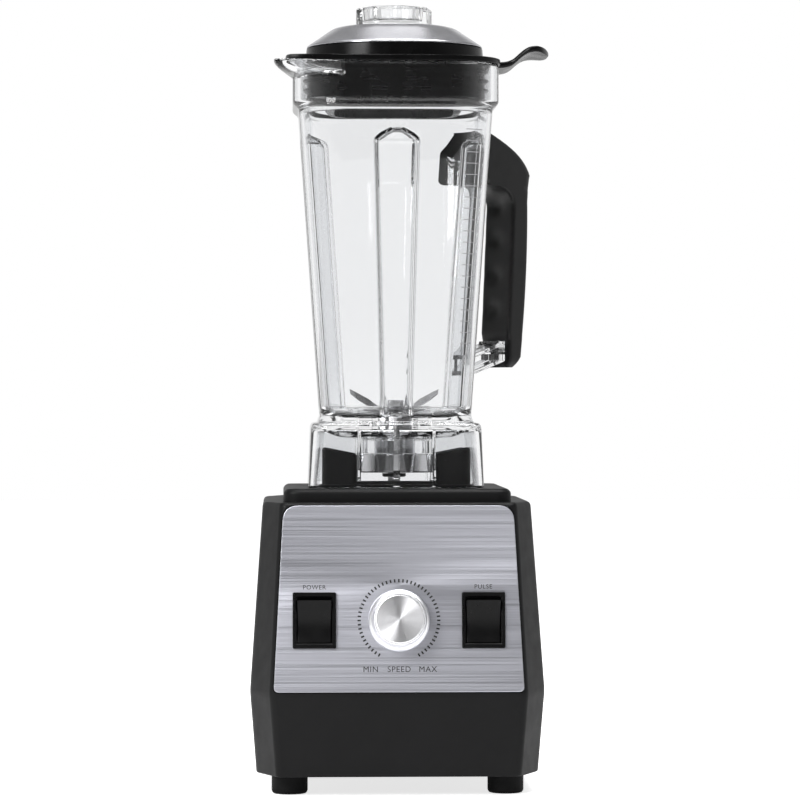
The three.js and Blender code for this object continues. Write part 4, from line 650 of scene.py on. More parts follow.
# ---- controls
TICK_COUNT = 51
TICK_SPREAD = math.radians(150)
TICK_RADIUS = 24.8
TICK_LENGTH = 2.1
TICK_WIDTH = 1.0
LABEL_SIZE = 5.0
SWITCH_LABEL_SIZE = 3.9
INK = 0.05
REST_POINTER = -162.5
SWITCH_X = centre("pulse_switch_body")[0]


def make_panel():
    rings = slab_rings(panel_outline(0), PANEL_FRONT - PANEL_THICKNESS, PANEL_FRONT, 0.1, 0.4)
    panel = skin(rings, matrix=FACE)
    for x in (-SWITCH_X, SWITCH_X):
        panel = cut(panel, block(x - 12.1, x + 12.1, -15.9, 15.9, -4, 3, 0.05, FACE))
    panel = cut(panel, rod(4.9, -4, 3, 48, FACE))
    finish_piece(panel, "panel_plate", "base", "panel", ["control_panel"])


def label(text, x, y, size):
    """Printed word, centred on a place on the face."""
    data = bpy.data.curves.new(text, "FONT")
    data.body = text
    data.size = size * MM
    data.align_x = "CENTER"
    data.align_y = "CENTER"
    data.extrude = INK / 2 * MM
    data.space_character = 1.12
    data.resolution_u = 4
    words = bpy.data.objects.new(text, data)
    scene.collection.objects.link(words)
    graph = bpy.context.evaluated_depsgraph_get()
    printed = bpy.data.objects.new(text, bpy.data.meshes.new_from_object(words.evaluated_get(graph)))
    bpy.data.objects.remove(words)
    scene.collection.objects.link(printed)
    printed.data.transform(in_frame(face_matrix(x, y, PANEL_FRONT + INK / 2)))
    finish_piece(printed, f"print_{text.lower()}", "base", "ink")


def make_printing():
    label("POWER", -SWITCH_X, 20.6, SWITCH_LABEL_SIZE)
    label("PULSE", SWITCH_X, 20.9, SWITCH_LABEL_SIZE)
    for text, x in (("MIN", -17.7), ("SPEED", 0.0), ("MAX", 17.9)):
        label(text, x, -30.5, LABEL_SIZE)
    ticks = []
    for tick in range(TICK_COUNT):
        angle = math.pi / 2 + TICK_SPREAD * (1 - 2 * tick / (TICK_COUNT - 1))
        out = np.array([math.cos(angle), math.sin(angle), 0])
        side = np.array([-out[1], out[0], 0]) * TICK_WIDTH / 2
        near, far = out * (TICK_RADIUS - TICK_LENGTH / 2), out * (TICK_RADIUS + TICK_LENGTH / 2)
        corners = np.array([near - side, far - side, far + side, near + side])
        ticks.append([corners + (0, 0, z) for z in (PANEL_FRONT, PANEL_FRONT + INK)])
    finish_piece(skin_each("ticks", ticks, FACE), "dial_ticks", "base", "ink")


def foot_on_face(node):
    """Lowest distance of a CAD node out of the leaning face."""
    places = [(vertex.co - Vector(AXIS)) / MM - knob_place for vertex in frame["nodes"][node].data.vertices]
    return min(place.dot(knob_axis) for place in places)


def make_knob():
    """Base ring, skirt and a spun face with its pointer line."""
    foot = foot_on_face("speed_knob")
    on_foot = FACE @ Matrix.Translation((0, 0, foot))
    body = turned([
        [9, 0], [19.25, 0], [19.25, 2.6], [17.9, 3.9], [17.0, 4.4], [16.5, 15.3],
        [15.9, 16], [15.5, 16], [15.5, 14.6], [3.4, 14.6], [3.4, 4], [9, 4],
    ], [0.2, 0.5, 0.8, 0.6, 0.5, 0.5, 0.2, 0.1, 0.1, 0, 0, 0], 128, on_foot)
    face = turned([
        [0, 14.8], [15.2, 14.8], [15.2, 15.7], [14.6, 15.9], [0, 15.9],
    ], [0, 0.1, 0.25, 0.3, 0], 128, on_foot)
    face = cut(face, block(-0.35, 0.35, 9.6, 14.2, 15.6, 17, 0.05, on_foot @ rotation(REST_POINTER)))
    for piece, name, slot, node in (
        (body, "knob_body", "knob_plastic", "speed_knob"), (face, "knob_disc", "knob_aluminium", "knob_face"),
    ):
        centre_on(piece, FACE)
        finish_piece(piece, name, "speed_dial", "spun", [node])


ROCKER_HALF_LENGTH = 13.2
ROCKER_WIDTH = 21.2
ROCKER_PIVOT = -1.0
ROCKER_LOBE = 4.1
ROCKER_DIP = 1.45
ROCKER_HUB = 6.5
BEZEL_BACK = 0.2


def make_switch_shell(name, matrix):
    """Bezel and box with the rocker's opening, its chamfer and three terminals."""
    back = BEZEL_BACK
    bezel = skin(slab_rings(outline(rectangle(13.5, 17.5), 1.0, 4), back, back + 2, 0.1, 0.5), matrix=matrix)
    shell = join(bezel, block(-11.8, 11.8, -15.6, 15.6, -17, back + 0.5, 0.3, matrix))
    chamfer = skin([
        level(outline(rectangle(11, 14.3), 0.6, 4), back + 1.2),
        level(outline(rectangle(12.4, 15.7), 0.6, 4), back + 2.6),
    ], matrix=matrix)
    shell = cut(shell, block(-11, 11, -14.3, 14.3, -8.5, back + 4, 0.3, matrix), chamfer)
    for y in (-7, 0, 7):
        shell = join(shell, block(-3, 3, y - 0.5, y + 0.5, -24, -16.5, 0.1, matrix))
    finish_piece(shell, f"{name}_switch_shell", "base", "switch", [f"{name}_switch_body"])


def make_rocker(name, matrix):
    """Side outline in (up the face, out of it), drawn across; its upper end stands out."""
    ups = np.linspace(ROCKER_HALF_LENGTH, -ROCKER_HALF_LENGTH, 25)
    top = np.column_stack([ups, ROCKER_DIP + (ROCKER_LOBE - ROCKER_DIP) * (ups / ROCKER_HALF_LENGTH) ** 2])
    turns = np.linspace(math.pi * 1.05, math.pi * 1.95, 13)
    hub = ROCKER_HUB * np.column_stack([np.cos(turns), np.sin(turns)])
    end = ROCKER_HALF_LENGTH - 0.6
    side = np.concatenate([top, [[-end, -0.5]], hub, [[end, -0.5]]])
    rings = []
    for across, inset in slab_edge(ROCKER_WIDTH / 2, 0.7):
        points = shrunk(side, inset)
        rings.append(np.column_stack([np.full(len(points), across), points]))
    pivot = matrix @ Matrix.Translation((0, 0, ROCKER_PIVOT))
    rocker = skin(rings, matrix=pivot @ rotation(10, "X"))
    body = f"{name}_rocker"
    finish_piece(rocker, f"{name}_rocker_cap", body, "switch", [body])


# ---- jar
SKIRT_BOTTOM = 191.5
SHELF = 238.0
FLOOR = 234.0
GABLE = 411.0
COLLAR = 434.1
RIM = 461.3
WALL = 2.8
FLUTE_DEPTH = 14.4
FLUTE_WALL = 2.1
SPOUT = 30.0
SPOUT_BOTTOM = 452.8
SPOUT_RISE = 7.2
CORNER_STEPS = 24
BORE = 15.4
NUT_WELL = 23.6
SKIRT_FOOT = (53.2, 9.2)
COLLAR_OUTER = (66, 33)
COLLAR_INNER = (61.2, 28.2)


def body_at(z):
    """Half width and corner radius of the tapering body."""
    share = (z - SHELF + 1) / (COLLAR - SHELF + 1)
    return 48.4 + 13.8 * share, 16 + 14 * share


def inner_at(z):
    half, radius = body_at(z)
    return half - WALL, radius - WALL


def flute_half(z):
    return 6.8 + 4.5 * (z - SHELF) / (GABLE - SHELF)


def beak_at(z, lag=0.0):
    rise = min(max((z - lag - SPOUT_BOTTOM) / SPOUT_RISE, 0), 1)
    return SPOUT * math.sqrt(1 - (1 - rise) ** 2) * (1 + 0.02 * lag)


def wall_line(reach, half_width, depth):
    """One wall of the jar from corner to corner, as (along, inward) points."""
    path = [
        (-reach, 0), (-half_width - 0.7, 0), (-half_width + 0.1, depth),
        (half_width - 0.1, depth), (half_width + 0.7, 0), (reach, 0),
    ]
    return np.concatenate(soften([np.array(stop) for stop in path], [0, 1.2, 2.2, 2.2, 1.2, 0]))


def jar_ring(z, half, radius, flute=(7.2, 0.0), beak=0.0):
    """Level of the jar: right, back, left and front walls with the corners between them.
    The back wall has no flute, and the beak is at the front-left corner."""
    turns = np.linspace(0, math.pi / 2, CORNER_STEPS + 1)[1:-1]
    points = []
    for side in range(4):
        line = wall_line(half - radius, flute[0], 0.0 if side == 1 else flute[1])
        wall = np.column_stack([half - line[:, 1], line[:, 0]])
        corner = corner_arc(half, radius, turns, beak if side == 2 else 0)
        points.append(quarter_turned(np.concatenate([wall, corner]), side))
    return level(np.concatenate(points), z)


def rounded_to(ring, radius, z):
    """Circle with one point for each point of a ring."""
    flat = ring[:, :2] / np.linalg.norm(ring[:, :2], axis=1, keepdims=True)
    return level(flat * radius, z)


# Above the gable's foot: rise, half width and depth, on to where it meets the wall.
GABLE_STEPS = (
    (0.0, 11.3, 14.2), (1.4, 11.0, 13.3), (2.6, 9.9, 11.6),
    (4.4, 7.4, 7.4), (6.2, 3.6, 2.2), (7.2, 1.6, 0.0),
)


def jar_outside():
    rings = soften([
        jar_ring(SKIRT_BOTTOM, *SKIRT_FOOT), jar_ring(SKIRT_BOTTOM, 56, 12), jar_ring(232.2, 54.3, 12),
        jar_ring(232.6, 49.9, 13.5), jar_ring(237.0, 48.4, 16), jar_ring(SHELF, *body_at(SHELF)),
    ], [0, 0.6, 4.0, 1.4, 0.3, 0], steps=4)[1:]
    for up, depth in ((0, 0.4), (0.1, 9.0), (0.3, 12.6), (1.2, 14.1)):
        rings.append(jar_ring(SHELF + up, *body_at(SHELF), (flute_half(SHELF), depth)))
    for z in np.linspace(SHELF + 3, GABLE - 0.8, 5):
        rings.append(jar_ring(z, *body_at(z), (flute_half(z), FLUTE_DEPTH)))
    for up, width, depth in GABLE_STEPS:
        rings.append(jar_ring(GABLE + up, *body_at(GABLE + up), (width, depth)))
    rings += soften([
        jar_ring(424, *body_at(424)), jar_ring(COLLAR - 0.4, *body_at(COLLAR)),
        jar_ring(COLLAR + 2.8, *COLLAR_OUTER), jar_ring(SPOUT_BOTTOM, *COLLAR_OUTER),
    ], [0, 1.5, 1.5, 0])
    for z in SPOUT_BOTTOM + (SPOUT_RISE - 0.6) * (1 - np.cos(np.linspace(0.12, math.pi / 2, 12))):
        rings.append(jar_ring(z, *COLLAR_OUTER, beak=beak_at(z)))
    return rings


def jar_inside():
    rings = soften([
        jar_ring(RIM - 1.4, *COLLAR_OUTER, beak=SPOUT), jar_ring(RIM, *COLLAR_OUTER, beak=SPOUT),
        jar_ring(RIM, 62, 29, beak=SPOUT), jar_ring(RIM - 0.9, 61.4, 28.2, beak=beak_at(RIM - 0.9, WALL)),
    ], [0, 1.1, 0.5, 0], steps=4)
    for z in SPOUT_BOTTOM + WALL + 4.6 * (1 - np.cos(np.linspace(math.pi / 2, 0.12, 10))):
        rings.append(jar_ring(z, *COLLAR_INNER, beak=beak_at(z, WALL)))
    rings += soften([
        jar_ring(SPOUT_BOTTOM + WALL, *COLLAR_INNER), jar_ring(COLLAR + 2.6, *COLLAR_INNER),
        jar_ring(COLLAR - 2.4, 59.4, 27.2), jar_ring(426.5, *inner_at(426.5)),
    ], [0, 1.5, 1.5, 0])
    for up, width, depth in reversed(GABLE_STEPS):
        z = GABLE + up * 1.1 + 1.0
        rings.append(jar_ring(z, *inner_at(z), (width + FLUTE_WALL, depth)))
    for z in np.linspace(GABLE - 0.6, FLOOR + 9.5, 6):
        rings.append(jar_ring(z, *inner_at(z), (flute_half(z) + FLUTE_WALL, FLUTE_DEPTH)))
    half, radius = inner_at(FLOOR + 9)
    for up, inset, clear_of_blades in (
        (7.0, 0.5, 29.8), (4.6, 1.7, 29.8), (2.6, 3.6, 29.8), (1.0, 6.2, 27.0), (0.0, 9.5, 27.0),
    ):
        depth = min(FLUTE_DEPTH, half - inset - clear_of_blades)
        rings.append(jar_ring(FLOOR + up, half - inset, radius - inset, (9.5, depth)))
    return rings


def jar_floor(last):
    """Floor, bore for the blade bearing, boss and dished underside, back to the skirt."""
    return soften([
        rounded_to(last, 24, FLOOR), rounded_to(last, BORE, FLOOR), rounded_to(last, BORE, 213),
        rounded_to(last, NUT_WELL, 213), rounded_to(last, NUT_WELL, 222.4), jar_ring(223.6, 36, 6),
        jar_ring(228.6, 50.6, 8.6), jar_ring(SKIRT_BOTTOM + 1, *SKIRT_FOOT),
    ], [0, 0.8, 0.4, 0.6, 1.2, 2.5, 2.5, 0], steps=4)


def skirt_walls():
    """Walls beside the pad's posts, and the fin in the middle of the front."""
    walls = []
    for quarter in range(4):
        for side in (-23.8, 23.8):
            walls.append(block(side - 1, side + 1, 25, 53, 195.7, 230, 0.35, rotation(90 * quarter)))
    walls.append(block(-2, 2, -53, -27, 196.3, 230, 0.5))
    return walls


DIAGONAL = rotation(45)
LUG_BOTTOM = 262.6
LUG_RISE = 10.5
LUG_END = 99.7
LUG_SCREW = DIAGONAL @ Matrix.Translation((0, 0, 280.1)) @ rotation(90, "Y")
SCREW_RADIUS = 2.4


def slanted(x0, x1, half_y, z0, thickness, rise, edge):
    """Plate along the diagonal whose far end stands higher."""
    rings = []
    for across, inset in slab_edge(half_y, edge):
        corners = [(x0, z0), (x1, z0 + rise), (x1, z0 + rise + thickness), (x0, z0 + thickness)]
        points = shrunk(outline(corners, edge, 3), inset)
        rings.append(np.column_stack([points[:, 0], np.full(len(points), across), points[:, 1]]))
    return skin(rings, matrix=DIAGONAL)


def make_lug():
    """Two rising plates with a web between them and the screw's block at their end. Its root
    is cut back to the wall, so that none of it stands inside the jar."""
    low, rise, half_y = LUG_BOTTOM, LUG_RISE, 9
    lug = join(
        slanted(64, LUG_END, half_y, low, 3, rise, 0.8),
        slanted(64, LUG_END, half_y, low + 11, 3, rise, 0.8),
        slanted(64, LUG_END - 3, 2, low + 1, 12, rise, 0.4),
        block(LUG_END - 7, LUG_END, -half_y, half_y, low + rise + 0.5, low + rise + 13.5, 1.0, DIAGONAL),
    )
    return cut(lug, skin([jar_ring(z, *(size - 1.4 for size in body_at(z))) for z in (240, 300)]))


def make_jar():
    outside, inside = jar_outside(), jar_inside()
    jar = skin(outside + inside + jar_floor(inside[-1]), loop=True)
    jar = join(jar, *skirt_walls(), make_lug())
    jar = cut(jar, rod(SCREW_RADIUS, LUG_END - 12, LUG_END + 1, 32, LUG_SCREW))
    finish_piece(jar, "clear_jar", "jar", "jar", ["jar_body"], 24)


def make_graduations():
    """Short printed marks round the front-right corner of the jar."""
    section = ((0.04, -0.28), (0.09, -0.28), (0.09, 0.28), (0.04, 0.28))
    marks = []
    for z in np.linspace(283, 419, 20):
        half, radius = body_at(z)
        middle = np.array([half - radius, radius - half, z])
        marks.append([
            middle + [((radius + lift) * math.cos(turn), (radius + lift) * math.sin(turn), up)
                      for lift, up in section]
            for turn in np.radians(np.linspace(-66, -40, 7))
        ])
    finish_piece(skin_each("graduations", marks), "jar_graduations", "jar", "mark")


# ---- handle
SADDLE_BOTTOM = 390.6
SADDLE_HALF = 20.0
SADDLE_CHAMFER = 9.0
HANDLE_BOTTOM = 269
HANDLE_TOP = 425.6
FINGER_DENTS = (308, 331.5, 355.3, 378)
DENT_DEPTH = 2.2


def bezier(start, middle, stop, steps=14):
    t = np.linspace(0, 1, steps)[:, None]
    return (1 - t) ** 2 * np.array(start) + 2 * t * (1 - t) * np.array(middle) + t * t * np.array(stop)


def grip_lines():
    """Inner and outer line of the handle as (out, up) points with up growing."""
    wall = 72.5
    inner = np.concatenate([
        [(100, HANDLE_BOTTOM), (100, 287.5), (99, 292), (99, 293), (104, 375)],
        bezier((104, 377), (103.6, 389.8), (wall + 11, SADDLE_BOTTOM - 0.4)),
        [(wall, SADDLE_BOTTOM), (wall, HANDLE_TOP)],
    ])
    outer = np.concatenate([
        [(106, HANDLE_BOTTOM), (107.5, 270.2)],
        bezier((113, 276), (121.6, 329), (120.5, 380.6)), [(123.4, 396.6)],
        bezier((124, 398.6), (117.5, 413.6), (wall + 14, 423.4)),
        [(wall + 8, 425.2), (wall + 3, HANDLE_TOP)],
    ])
    return inner, outer


def resampled(points, count):
    """A closed 2-D outline with evenly spaced points."""
    closed = np.concatenate([points, points[:1]])
    steps = np.linalg.norm(np.diff(closed, axis=0), axis=1)
    along = np.concatenate([[0], np.cumsum(steps)])
    places = np.linspace(0, along[-1], count, endpoint=False)
    return np.column_stack([np.interp(places, along, closed[:, i]) for i in range(2)])


def grip_ring(z, inner, outer):
    """Level of the grip, with a finger dent in its inner side where z meets one."""
    x0 = np.interp(z, inner[:, 1], inner[:, 0])
    x1 = np.interp(z, outer[:, 1], outer[:, 0])
    half = 12.9 - 2.6 * max(0, (275 - z) / 6) ** 2
    edge = min(2.6, (x1 - x0) * 0.3)
    back = min(7.0, (x1 - x0) * 0.42)
    middle = (x0 + x1) / 2
    corners = [(middle, half), (x0, half), (x0, -half), (middle, -half), (x1, -half), (x1, half)]
    points = resampled(outline(corners, [0.1, edge, edge, 0.1, back, back], 8), 108)
    dent = sum(math.exp(-((z - middle_z) / 5.5) ** 2) for middle_z in FINGER_DENTS)
    near = np.exp(-((points[:, 1] - 2.5) / 6.5) ** 2) * np.exp(-((points[:, 0] - x0) / 2.5) ** 2)
    points[:, 0] += DENT_DEPTH * dent * near
    return level(points, z)


def saddle_ring(z, offset):
    half, radius = body_at(z)
    return level(arc_square(half + offset, radius + offset, 20), z)


def make_saddle():
    """Pad that wraps the jar's corner, cut to its outline as seen from outside."""
    low, high, half, chamfer = SADDLE_BOTTOM, HANDLE_TOP, SADDLE_HALF, SADDLE_CHAMFER
    wrap = skin([saddle_ring(*ring) for ring in ((low, 5.2), (low + 0.8, 6), (high - 0.8, 6), (high, 5.2))])
    right = [(half - 2, low), (half, low + 2), (half, high - chamfer - 4), (half - chamfer, high)]
    view = outline(right + [(-y, z) for y, z in reversed(right)], 1.6, 4)
    sides = skin([np.column_stack([np.full(len(view), x), view]) for x in (40, 100)], matrix=DIAGONAL)
    return combine(wrap, sides, "INTERSECT")


def make_handle():
    inner, outer = grip_lines()
    heights = np.concatenate([
        HANDLE_BOTTOM + np.array([0, 0.3, 1, 2.5, 4.5, 7]), np.arange(278, 287, 2), [287.5, 289.7, 292],
        np.arange(294, 376, 2.4), np.linspace(377, 389.6, 9), [390.1, 390.6, 391.4],
        np.arange(393.5, 422, 2.5), [423, 424, 424.8, 425.3, HANDLE_TOP],
    ])
    grip = skin([grip_ring(z, inner, outer) for z in heights], matrix=DIAGONAL)
    clearance = skin([saddle_ring(z, 0.35) for z in (360, COLLAR)])
    screw_way = turned([
        [0, 96], [SCREW_RADIUS, 96], [SCREW_RADIUS, 106], [4.7, 106], [4.7, 130], [0, 130],
    ], 0, 40, LUG_SCREW)
    handle = cut(join(grip, make_saddle()), clearance, screw_way)
    finish_piece(handle, "jar_handle", "jar", "handle", ["handle"], 32)


# ---- blades and their drive
def make_nut():
    bottom, top = 200.7, 212.7
    nut = turned([[BORE, bottom], [24, bottom], [24, top], [BORE, top]], [0.3, 1.0, 1.0, 0.3], 128)
    for notch in range(8):
        rings = [
            np.array([(21.8, -half, z), (27, -half - 1, z), (27, half + 1, z), (21.8, half, z)])
            for z, half in ((bottom - 1, 1.4), (top + 1, 3.9))
        ]
        nut = cut(nut, skin(rings, matrix=rotation(45 * notch + 22.5)))
    finish_piece(nut, "jar_base_nut", "jar", "turned", ["retaining_nut"])


def make_blade_housing():
    (_, _, low), (_, _, high) = extent("bearing_housing")
    flange = high - 1.7
    body = turned([
        [9.7, low], [15, low], [15, flange], [20, flange], [19.3, high], [9.7, high],
        [9.7, high - 10.9], [7.5, high - 10.9], [7.5, low + 6.3], [9.7, low + 6.3],
    ], [0.2, 0.5, 0.2, 0.4, 0.6, 0.3, 0, 0, 0, 0], 96)
    finish_piece(body, "blade_bearing_housing", "jar", "turned", ["bearing_housing"])


BLADE_REACH = 28.9
BLADE_THICKNESS = 1.2
SHAFT_HOLE = 4.15


def make_blade(node, elbow, rise, turn_degrees, twist):
    """Ground blade: a hub plate and two wings that bend smoothly and are sharp in front."""
    (_, _, low), (_, _, high) = extent(node)
    reach, top = BLADE_REACH, BLADE_THICKNESS
    z = low if rise > 0 else high - top
    hub = [[SHAFT_HOLE, z], [8.5, z], [8.5, z + top], [SHAFT_HOLE, z + top]]
    blade = turned(hub, [0.1, 0.35, 0.35, 0.1], 64)
    for half_turn in (0, 180):
        rings = []
        for share in np.linspace(0, 1, 16):
            x = 5.0 + (reach - 5.0) * share
            bend = max(0.0, (x - elbow + 2) / (reach - elbow + 2)) ** 1.35
            lift = z + (rise if rise > 0 else rise + 0.25) * bend * 0.99
            back = np.interp(x, [5, elbow, 24, reach], [-5.4, -5.9, -5.4, -3.6])
            front = np.interp(x, [5, elbow, 24, reach], [5.4, 5.0, 4.4, 2.6])
            edge = [
                (back + 0.2, 0.15), (front - 2.6, 0.0), (front, 0.5), (front, 0.62),
                (front - 2.6, 1.18), (back + 0.2, 1.05), (back, 0.8), (back, 0.4),
            ]
            lean = twist * min(max((x - elbow) / 7, 0), 1)
            rings.append(np.array([(x, y, lift + up + lean * (y - 0.5 * (back + front))) for y, up in edge]))
        blade = join(blade, skin(rings, matrix=rotation(half_turn)))
    blade.data.transform(Matrix.Translation(AXIS) @ rotation(turn_degrees) @ Matrix.Translation(-AXIS))
    finish_piece(blade, f"{node}_ground", "blade_assembly", "blade", [node], 35)


def make_blade_nut():
    (_, _, low), (_, _, high) = extent("blade_nut")
    hexagon = circle(7.5, 0, 6)[:, :2]
    nut = skin(slab_rings(outline(hexagon, 0.5, 3), low, high, 0.2, 0.5))
    crown = turned([[0, low - 1], [7.35, low - 1], [7.35, high - 0.7], [6.2, high], [0, high]],
                   [0, 0, 0.3, 0.5, 0], 64)
    nut = cut(combine(nut, crown, "INTERSECT"), rod(SHAFT_HOLE, low - 1, high - 1, 48))
    finish_piece(nut, "blade_acorn_nut", "blade_assembly", "turned", ["blade_nut"])


# ---- lid
LID_STEPS = 16
FLANGE = 461.6
BAND_TOP = 474.2
LID_BEAK = 15.6
PLUG_BOTTOM = 433.4
TUBE_BOTTOM = 439.6
TUBE_BORE = 23.1
TAB_MIDDLE = 463.4


def lid_ring(half, radius, z, beak=0.0):
    return level(arc_square(half, radius, LID_STEPS, beak), z)


def lid_circle(radius, z):
    """Circle whose points line up with those of the lid's square rings."""
    return rounded_to(lid_ring(60, 40, 0), radius, z)


def plug_rings():
    core, plug = (57.2, 24.2), (59.6, 26.6)
    stops = [lid_ring(43, 20, PLUG_BOTTOM), lid_ring(50, 22, TUBE_BOTTOM), lid_ring(*core, TUBE_BOTTOM)]
    radii = [1.2, 0.8, 0.8]
    for fin in range(3):
        z = 443.6 + fin * 6
        fins = ((core, 0), (plug, 0.7), (plug, 1.7), (core, 2.4))
        stops += [lid_ring(*size, z + up) for size, up in fins]
        radii += [0.4, 0.5, 0.5, 0.4]
    return stops + [lid_ring(*core, FLANGE)], radii + [0.3]


def make_lid():
    stops, radii = plug_rings()
    tube, bore, seal = 25.9, TUBE_BORE, 24.7
    stops += [
        lid_ring(67, 33, FLANGE, LID_BEAK), lid_ring(67, 33, 465.1, LID_BEAK), lid_ring(57.6, 48, 466.3),
        lid_ring(57, 48, BAND_TOP),
    ]
    stops += [lid_circle(*stop) for stop in (
        (tube, BAND_TOP), (tube, 486.7), (bore, 486.7), (bore, 472.6), (seal, 472.6), (seal, 470.2),
        (bore, 470.2), (bore, TUBE_BOTTOM), (tube, TUBE_BOTTOM), (tube, 464.2),
    )]
    stops += [lid_ring(40, 18, 464.2), lid_ring(39, 18, PLUG_BOTTOM)]
    radii += [0.8, 1.0, 0.5, 0.7, 0.3, 0.3, 0.3, 0, 0, 0, 0, 0.4, 0.4, 0.5, 0.8, 0.6]
    lid = skin(soften(stops, radii, closed=True, steps=3), loop=True)
    lid = join(lid, pull_tab())
    finish_piece(lid, "lid_rubber_base", "lid", "lid", ["lid_base"], 28)


def pull_tab():
    """Strap that leaves the flange level, climbs in an S-curve and ends in a wide tongue."""
    outs = np.array([-8, 2, 6, 10, 16, 20, 25, 29, 32.5, 34]) + 66.0
    halves = np.array([24.6, 24.2, 24, 24.4, 27, 28.7, 28.9, 25.4, 17, 9])
    rises = np.array([0, -0.3, 0.0, 1.4, 6.9, 9.3, 10.0, 9.4, 8.4, 7.9])
    rings = []
    for x in np.concatenate([np.linspace(58, 98, 34), [99, 99.6, 100]]):
        half = np.interp(x, outs, halves)
        rise = np.interp(x, outs, rises)
        thick = 1.9 * (1 if x < 98 else max(0.35, math.sqrt((100.6 - x) / 2.6)))
        points = outline(rectangle(half, thick), min(1.5, thick * 0.8), 5) + (0, TAB_MIDDLE + rise)
        rings.append(np.column_stack([np.full(len(points), x), points]))
    return skin(smoothed(rings))


def smoothed(rings, passes=2):
    """Rings each drawn towards the middle of their neighbours, the ends kept."""
    for _ in range(passes):
        between = [(back + 2 * here + on) / 4 for back, here, on in zip(rings, rings[1:], rings[2:])]
        rings = [rings[0], *between, rings[-1]]
    return rings


def make_dome():
    stops = [
        lid_ring(57, 48, 474.5), lid_ring(56.7, 48, 475.7), lid_circle(42, 487.0), lid_circle(37.5, 488.5),
        lid_circle(TUBE_BORE, 488.5), lid_circle(TUBE_BORE, 487.0), lid_circle(38, 486.9),
        lid_ring(52.8, 46, 476.2), lid_ring(54.4, 47, 474.5),
    ]
    dome = skin(soften(stops, [0.5, 0.9, 4.0, 2.6, 0.4, 0.3, 2, 1, 0.3], closed=True, steps=6), loop=True)
    finish_piece(dome, "lid_dome", "lid", "silver", ["lid_cover"], 35)


CAP_SIDES = 128
CAP_NECK = 22.6
CAP_POCKET = 20.4
CAP_BOTTOM = 439.6
CAP_SHARPNESS = 70


def octagon_ring(inradius, z):
    """Soft octagon: the higher the sharpness, the tighter its corners."""
    ring = circle(1.0, z, CAP_SIDES)
    reach = 0.0
    for side in range(8):
        middle = math.radians(32.9 + 45 * side)
        facing = ring[:, 0] * math.cos(middle) + ring[:, 1] * math.sin(middle)
        reach = reach + np.clip(facing, 0, 1) ** CAP_SHARPNESS
    ring[:, :2] *= (inradius * reach ** (-1 / CAP_SHARPNESS))[:, None]
    return ring


def make_cap():
    bottom, top, floor = 488.8, 501.2, 492.8
    stops = [circle(radius, z, CAP_SIDES) for radius, z in (
        (0.05, 489.8), (CAP_POCKET, 489.8), (CAP_POCKET, CAP_BOTTOM),
        (CAP_NECK, CAP_BOTTOM), (CAP_NECK, bottom),
    )]
    stops += [octagon_ring(23.4, bottom), octagon_ring(23.4, top)]
    stops += [circle(radius, z, CAP_SIDES) for radius, z in ((15.4, top), (14.2, floor), (0.05, floor))]
    cap = skin(soften(stops, [0, 1.0, 0.6, 0.6, 0.5, 1.0, 1.2, 0.9, 1.4, 0], steps=4))
    finish_piece(cap, "filler_cap_clear", "filler_cap", "cap", ["filler_cap"], 28)


# ---- pieces kept from the CAD
KEPT = {
    "housing": ["bottom_cover", "cooling_fan", "drive_hub"],
    "rubber": ["cord_gland", "floor_gasket", "blade_seal", "cap_seal"],
    "steel": ["foot_screw_front_left", "foot_screw_front_right", "foot_screw_rear_left",
              "foot_screw_rear_right", "handle_screw", "blade_washer"],
    "turned": ["motor_bearing_lower", "motor_bearing_upper", "motor_shaft", "drive_coupler",
               "blade_bearing_lower", "blade_bearing_upper", "blade_shaft"],
    "board": ["control_board"],
    "cast": ["speed_potentiometer", "pot_shaft", "motor_lower_bracket", "motor_upper_bracket"],
    "iron": ["stator_core", "armature"],
    "copper": ["field_winding_front", "field_winding_rear"],
    "brass": ["brush_holder_left", "brush_holder_right", "commutator"],
    "carbon": ["carbon_brush_left", "carbon_brush_right"],
}


def keep_cad_pieces():
    """Softens the edges of the inner CAD pieces and gives them their finishes."""
    for look, names in KEPT.items():
        for name in names:
            node = frame["nodes"][name]
            bevel = node.modifiers.new("soft_edges", "BEVEL")
            bevel.width = 0.25 * MM
            bevel.segments = 2
            bevel.limit_method = "ANGLE"
            bevel.angle_limit = math.radians(32)
            coat(node, look)


# ---- room, floor and lights
def graded(tree, amount, stops):
    """Grey that follows (place, brightness) stops."""
    ramp = add_node(tree, "ShaderNodeValToRGB", Fac=amount)
    elements = ramp.color_ramp.elements
    while len(elements) < len(stops):
        elements.new(0.5)
    for element, (position, brightness) in zip(elements, stops):
        element.position = position
        element.color = (brightness, brightness, brightness, 1)
    return ramp.outputs["Color"]


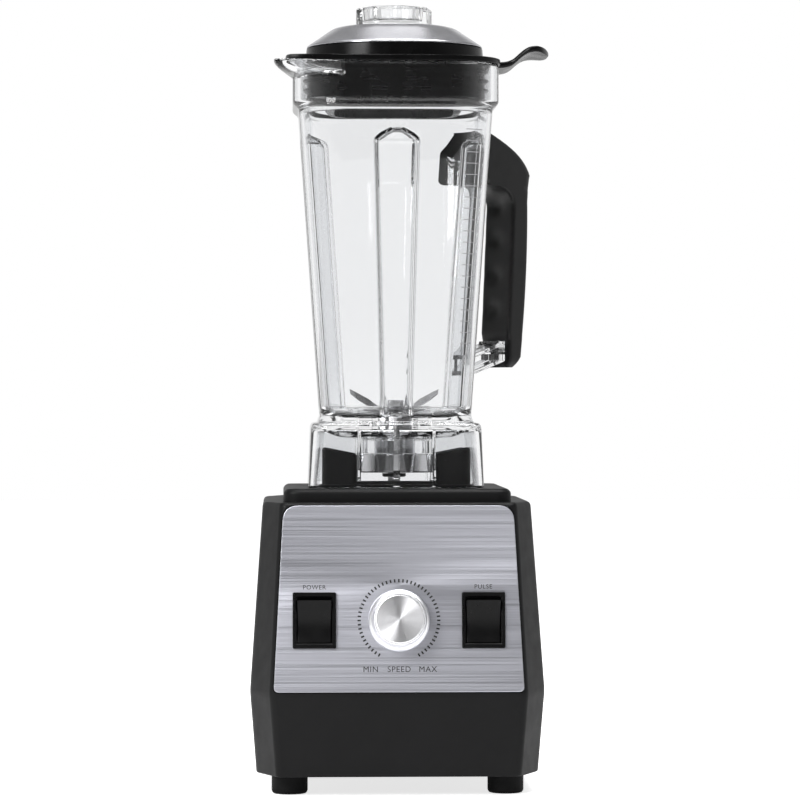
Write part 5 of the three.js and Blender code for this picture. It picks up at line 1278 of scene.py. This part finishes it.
def make_world():
    """White where it is seen, straight or through clear plastic. What the pieces reflect is
    bright low down and overhead, and dimmer in front than beside and behind."""
    world = bpy.data.worlds.new("studio")
    world.use_nodes = True
    scene.world = world
    tree = world.node_tree
    tree.nodes.clear()
    where = add_node(tree, "ShaderNodeTexCoord").outputs["Generated"]
    toward = add_node(tree, "ShaderNodeSeparateXYZ", Vector=where).outputs
    by_height = graded(tree, toward["Z"], [(0.0, 0.62), (0.26, 0.62), (0.5, 0.16), (0.8, 0.16), (0.92, 1.2)])
    back = add_node(tree, "ShaderNodeMapRange", Value=toward["Y"], From_Min=-1.0, From_Max=1.0)
    by_depth = graded(tree, back.outputs["Result"], [(0.0, 0.2), (0.06, 0.3), (0.3, 1.0), (1.0, 1.3)])
    light = add_node(tree, "ShaderNodeVectorMath", "MULTIPLY", first=by_height, second=by_depth)
    path = add_node(tree, "ShaderNodeLightPath").outputs
    away = add_node(tree, "ShaderNodeMath", "GREATER_THAN", first=toward["Y"], second=0.0).outputs[0]
    through = add_node(tree, "ShaderNodeMath", "MULTIPLY", first=path["Is Transmission Ray"], second=away)
    seen = add_node(tree, "ShaderNodeMath", "MAXIMUM", first=path["Is Camera Ray"], second=through.outputs[0])
    mix = add_node(tree, "ShaderNodeMix", Factor=seen.outputs[0])
    mix.data_type = "RGBA"
    tree.links.new(light.outputs[0], mix.inputs[6])
    mix.inputs[7].default_value = (1, 1, 1, 1)
    background = add_node(tree, "ShaderNodeBackground", Color=mix.outputs[2], Strength=1.0)
    add_node(tree, "ShaderNodeOutputWorld", Surface=background.outputs[0])


def make_floor():
    floor = new_object("floor", level(np.array(rectangle(6000, 6000)), -0.3), [(0, 1, 2, 3)])
    finish = Finish("floor_white", (0.96, 0.96, 0.96), 0.9)
    finish.set("Emission Color", (1, 1, 1, 1))
    rays = finish.node("ShaderNodeLightPath").outputs["Is Camera Ray"]
    finish.feed("Emission Strength", finish.span(rays, 0.12, 0.75))
    floor.data.materials.append(finish.material)


def add_light(name, place, target, size, power):
    data = bpy.data.lights.new(name, "AREA")
    data.shape = "RECTANGLE"
    data.size, data.size_y = size[0] * MM, size[1] * MM
    data.energy = power
    light = bpy.data.objects.new(name, data)
    light.location = np.array(place) * MM + AXIS
    aim = Vector(np.array(target) * MM + AXIS) - light.location
    light.rotation_euler = aim.to_track_quat("-Z", "Y").to_euler()
    light.visible_camera = False
    scene.collection.objects.link(light)


add_camera()
make_housing()
make_feet()
make_pad()
make_panel()
make_printing()
make_knob()
for switch_name, switch_x in (("power", -SWITCH_X), ("pulse", SWITCH_X)):
    make_switch_shell(switch_name, face_matrix(switch_x))
    make_rocker(switch_name, face_matrix(switch_x))
make_jar()
make_graduations()
make_handle()
make_nut()
make_blade_housing()
make_blade("blade_lower", 21, -1.4, -52, 0)
make_blade("blade_middle", 12, 0.6, 40, 0.12)
make_blade("blade_upper", 9, 11, -8, 0.5)
make_blade_nut()
make_lid()
make_dome()
make_cap()
keep_cad_pieces()
make_world()
make_floor()
add_light("key_left", (-900, -1300, 1100), (0, 0, 250), (700, 900), 26)
add_light("top_soft", (150, -200, 1500), (0, 0, 300), (900, 700), 16)
scene.view_settings.view_transform = "Standard"
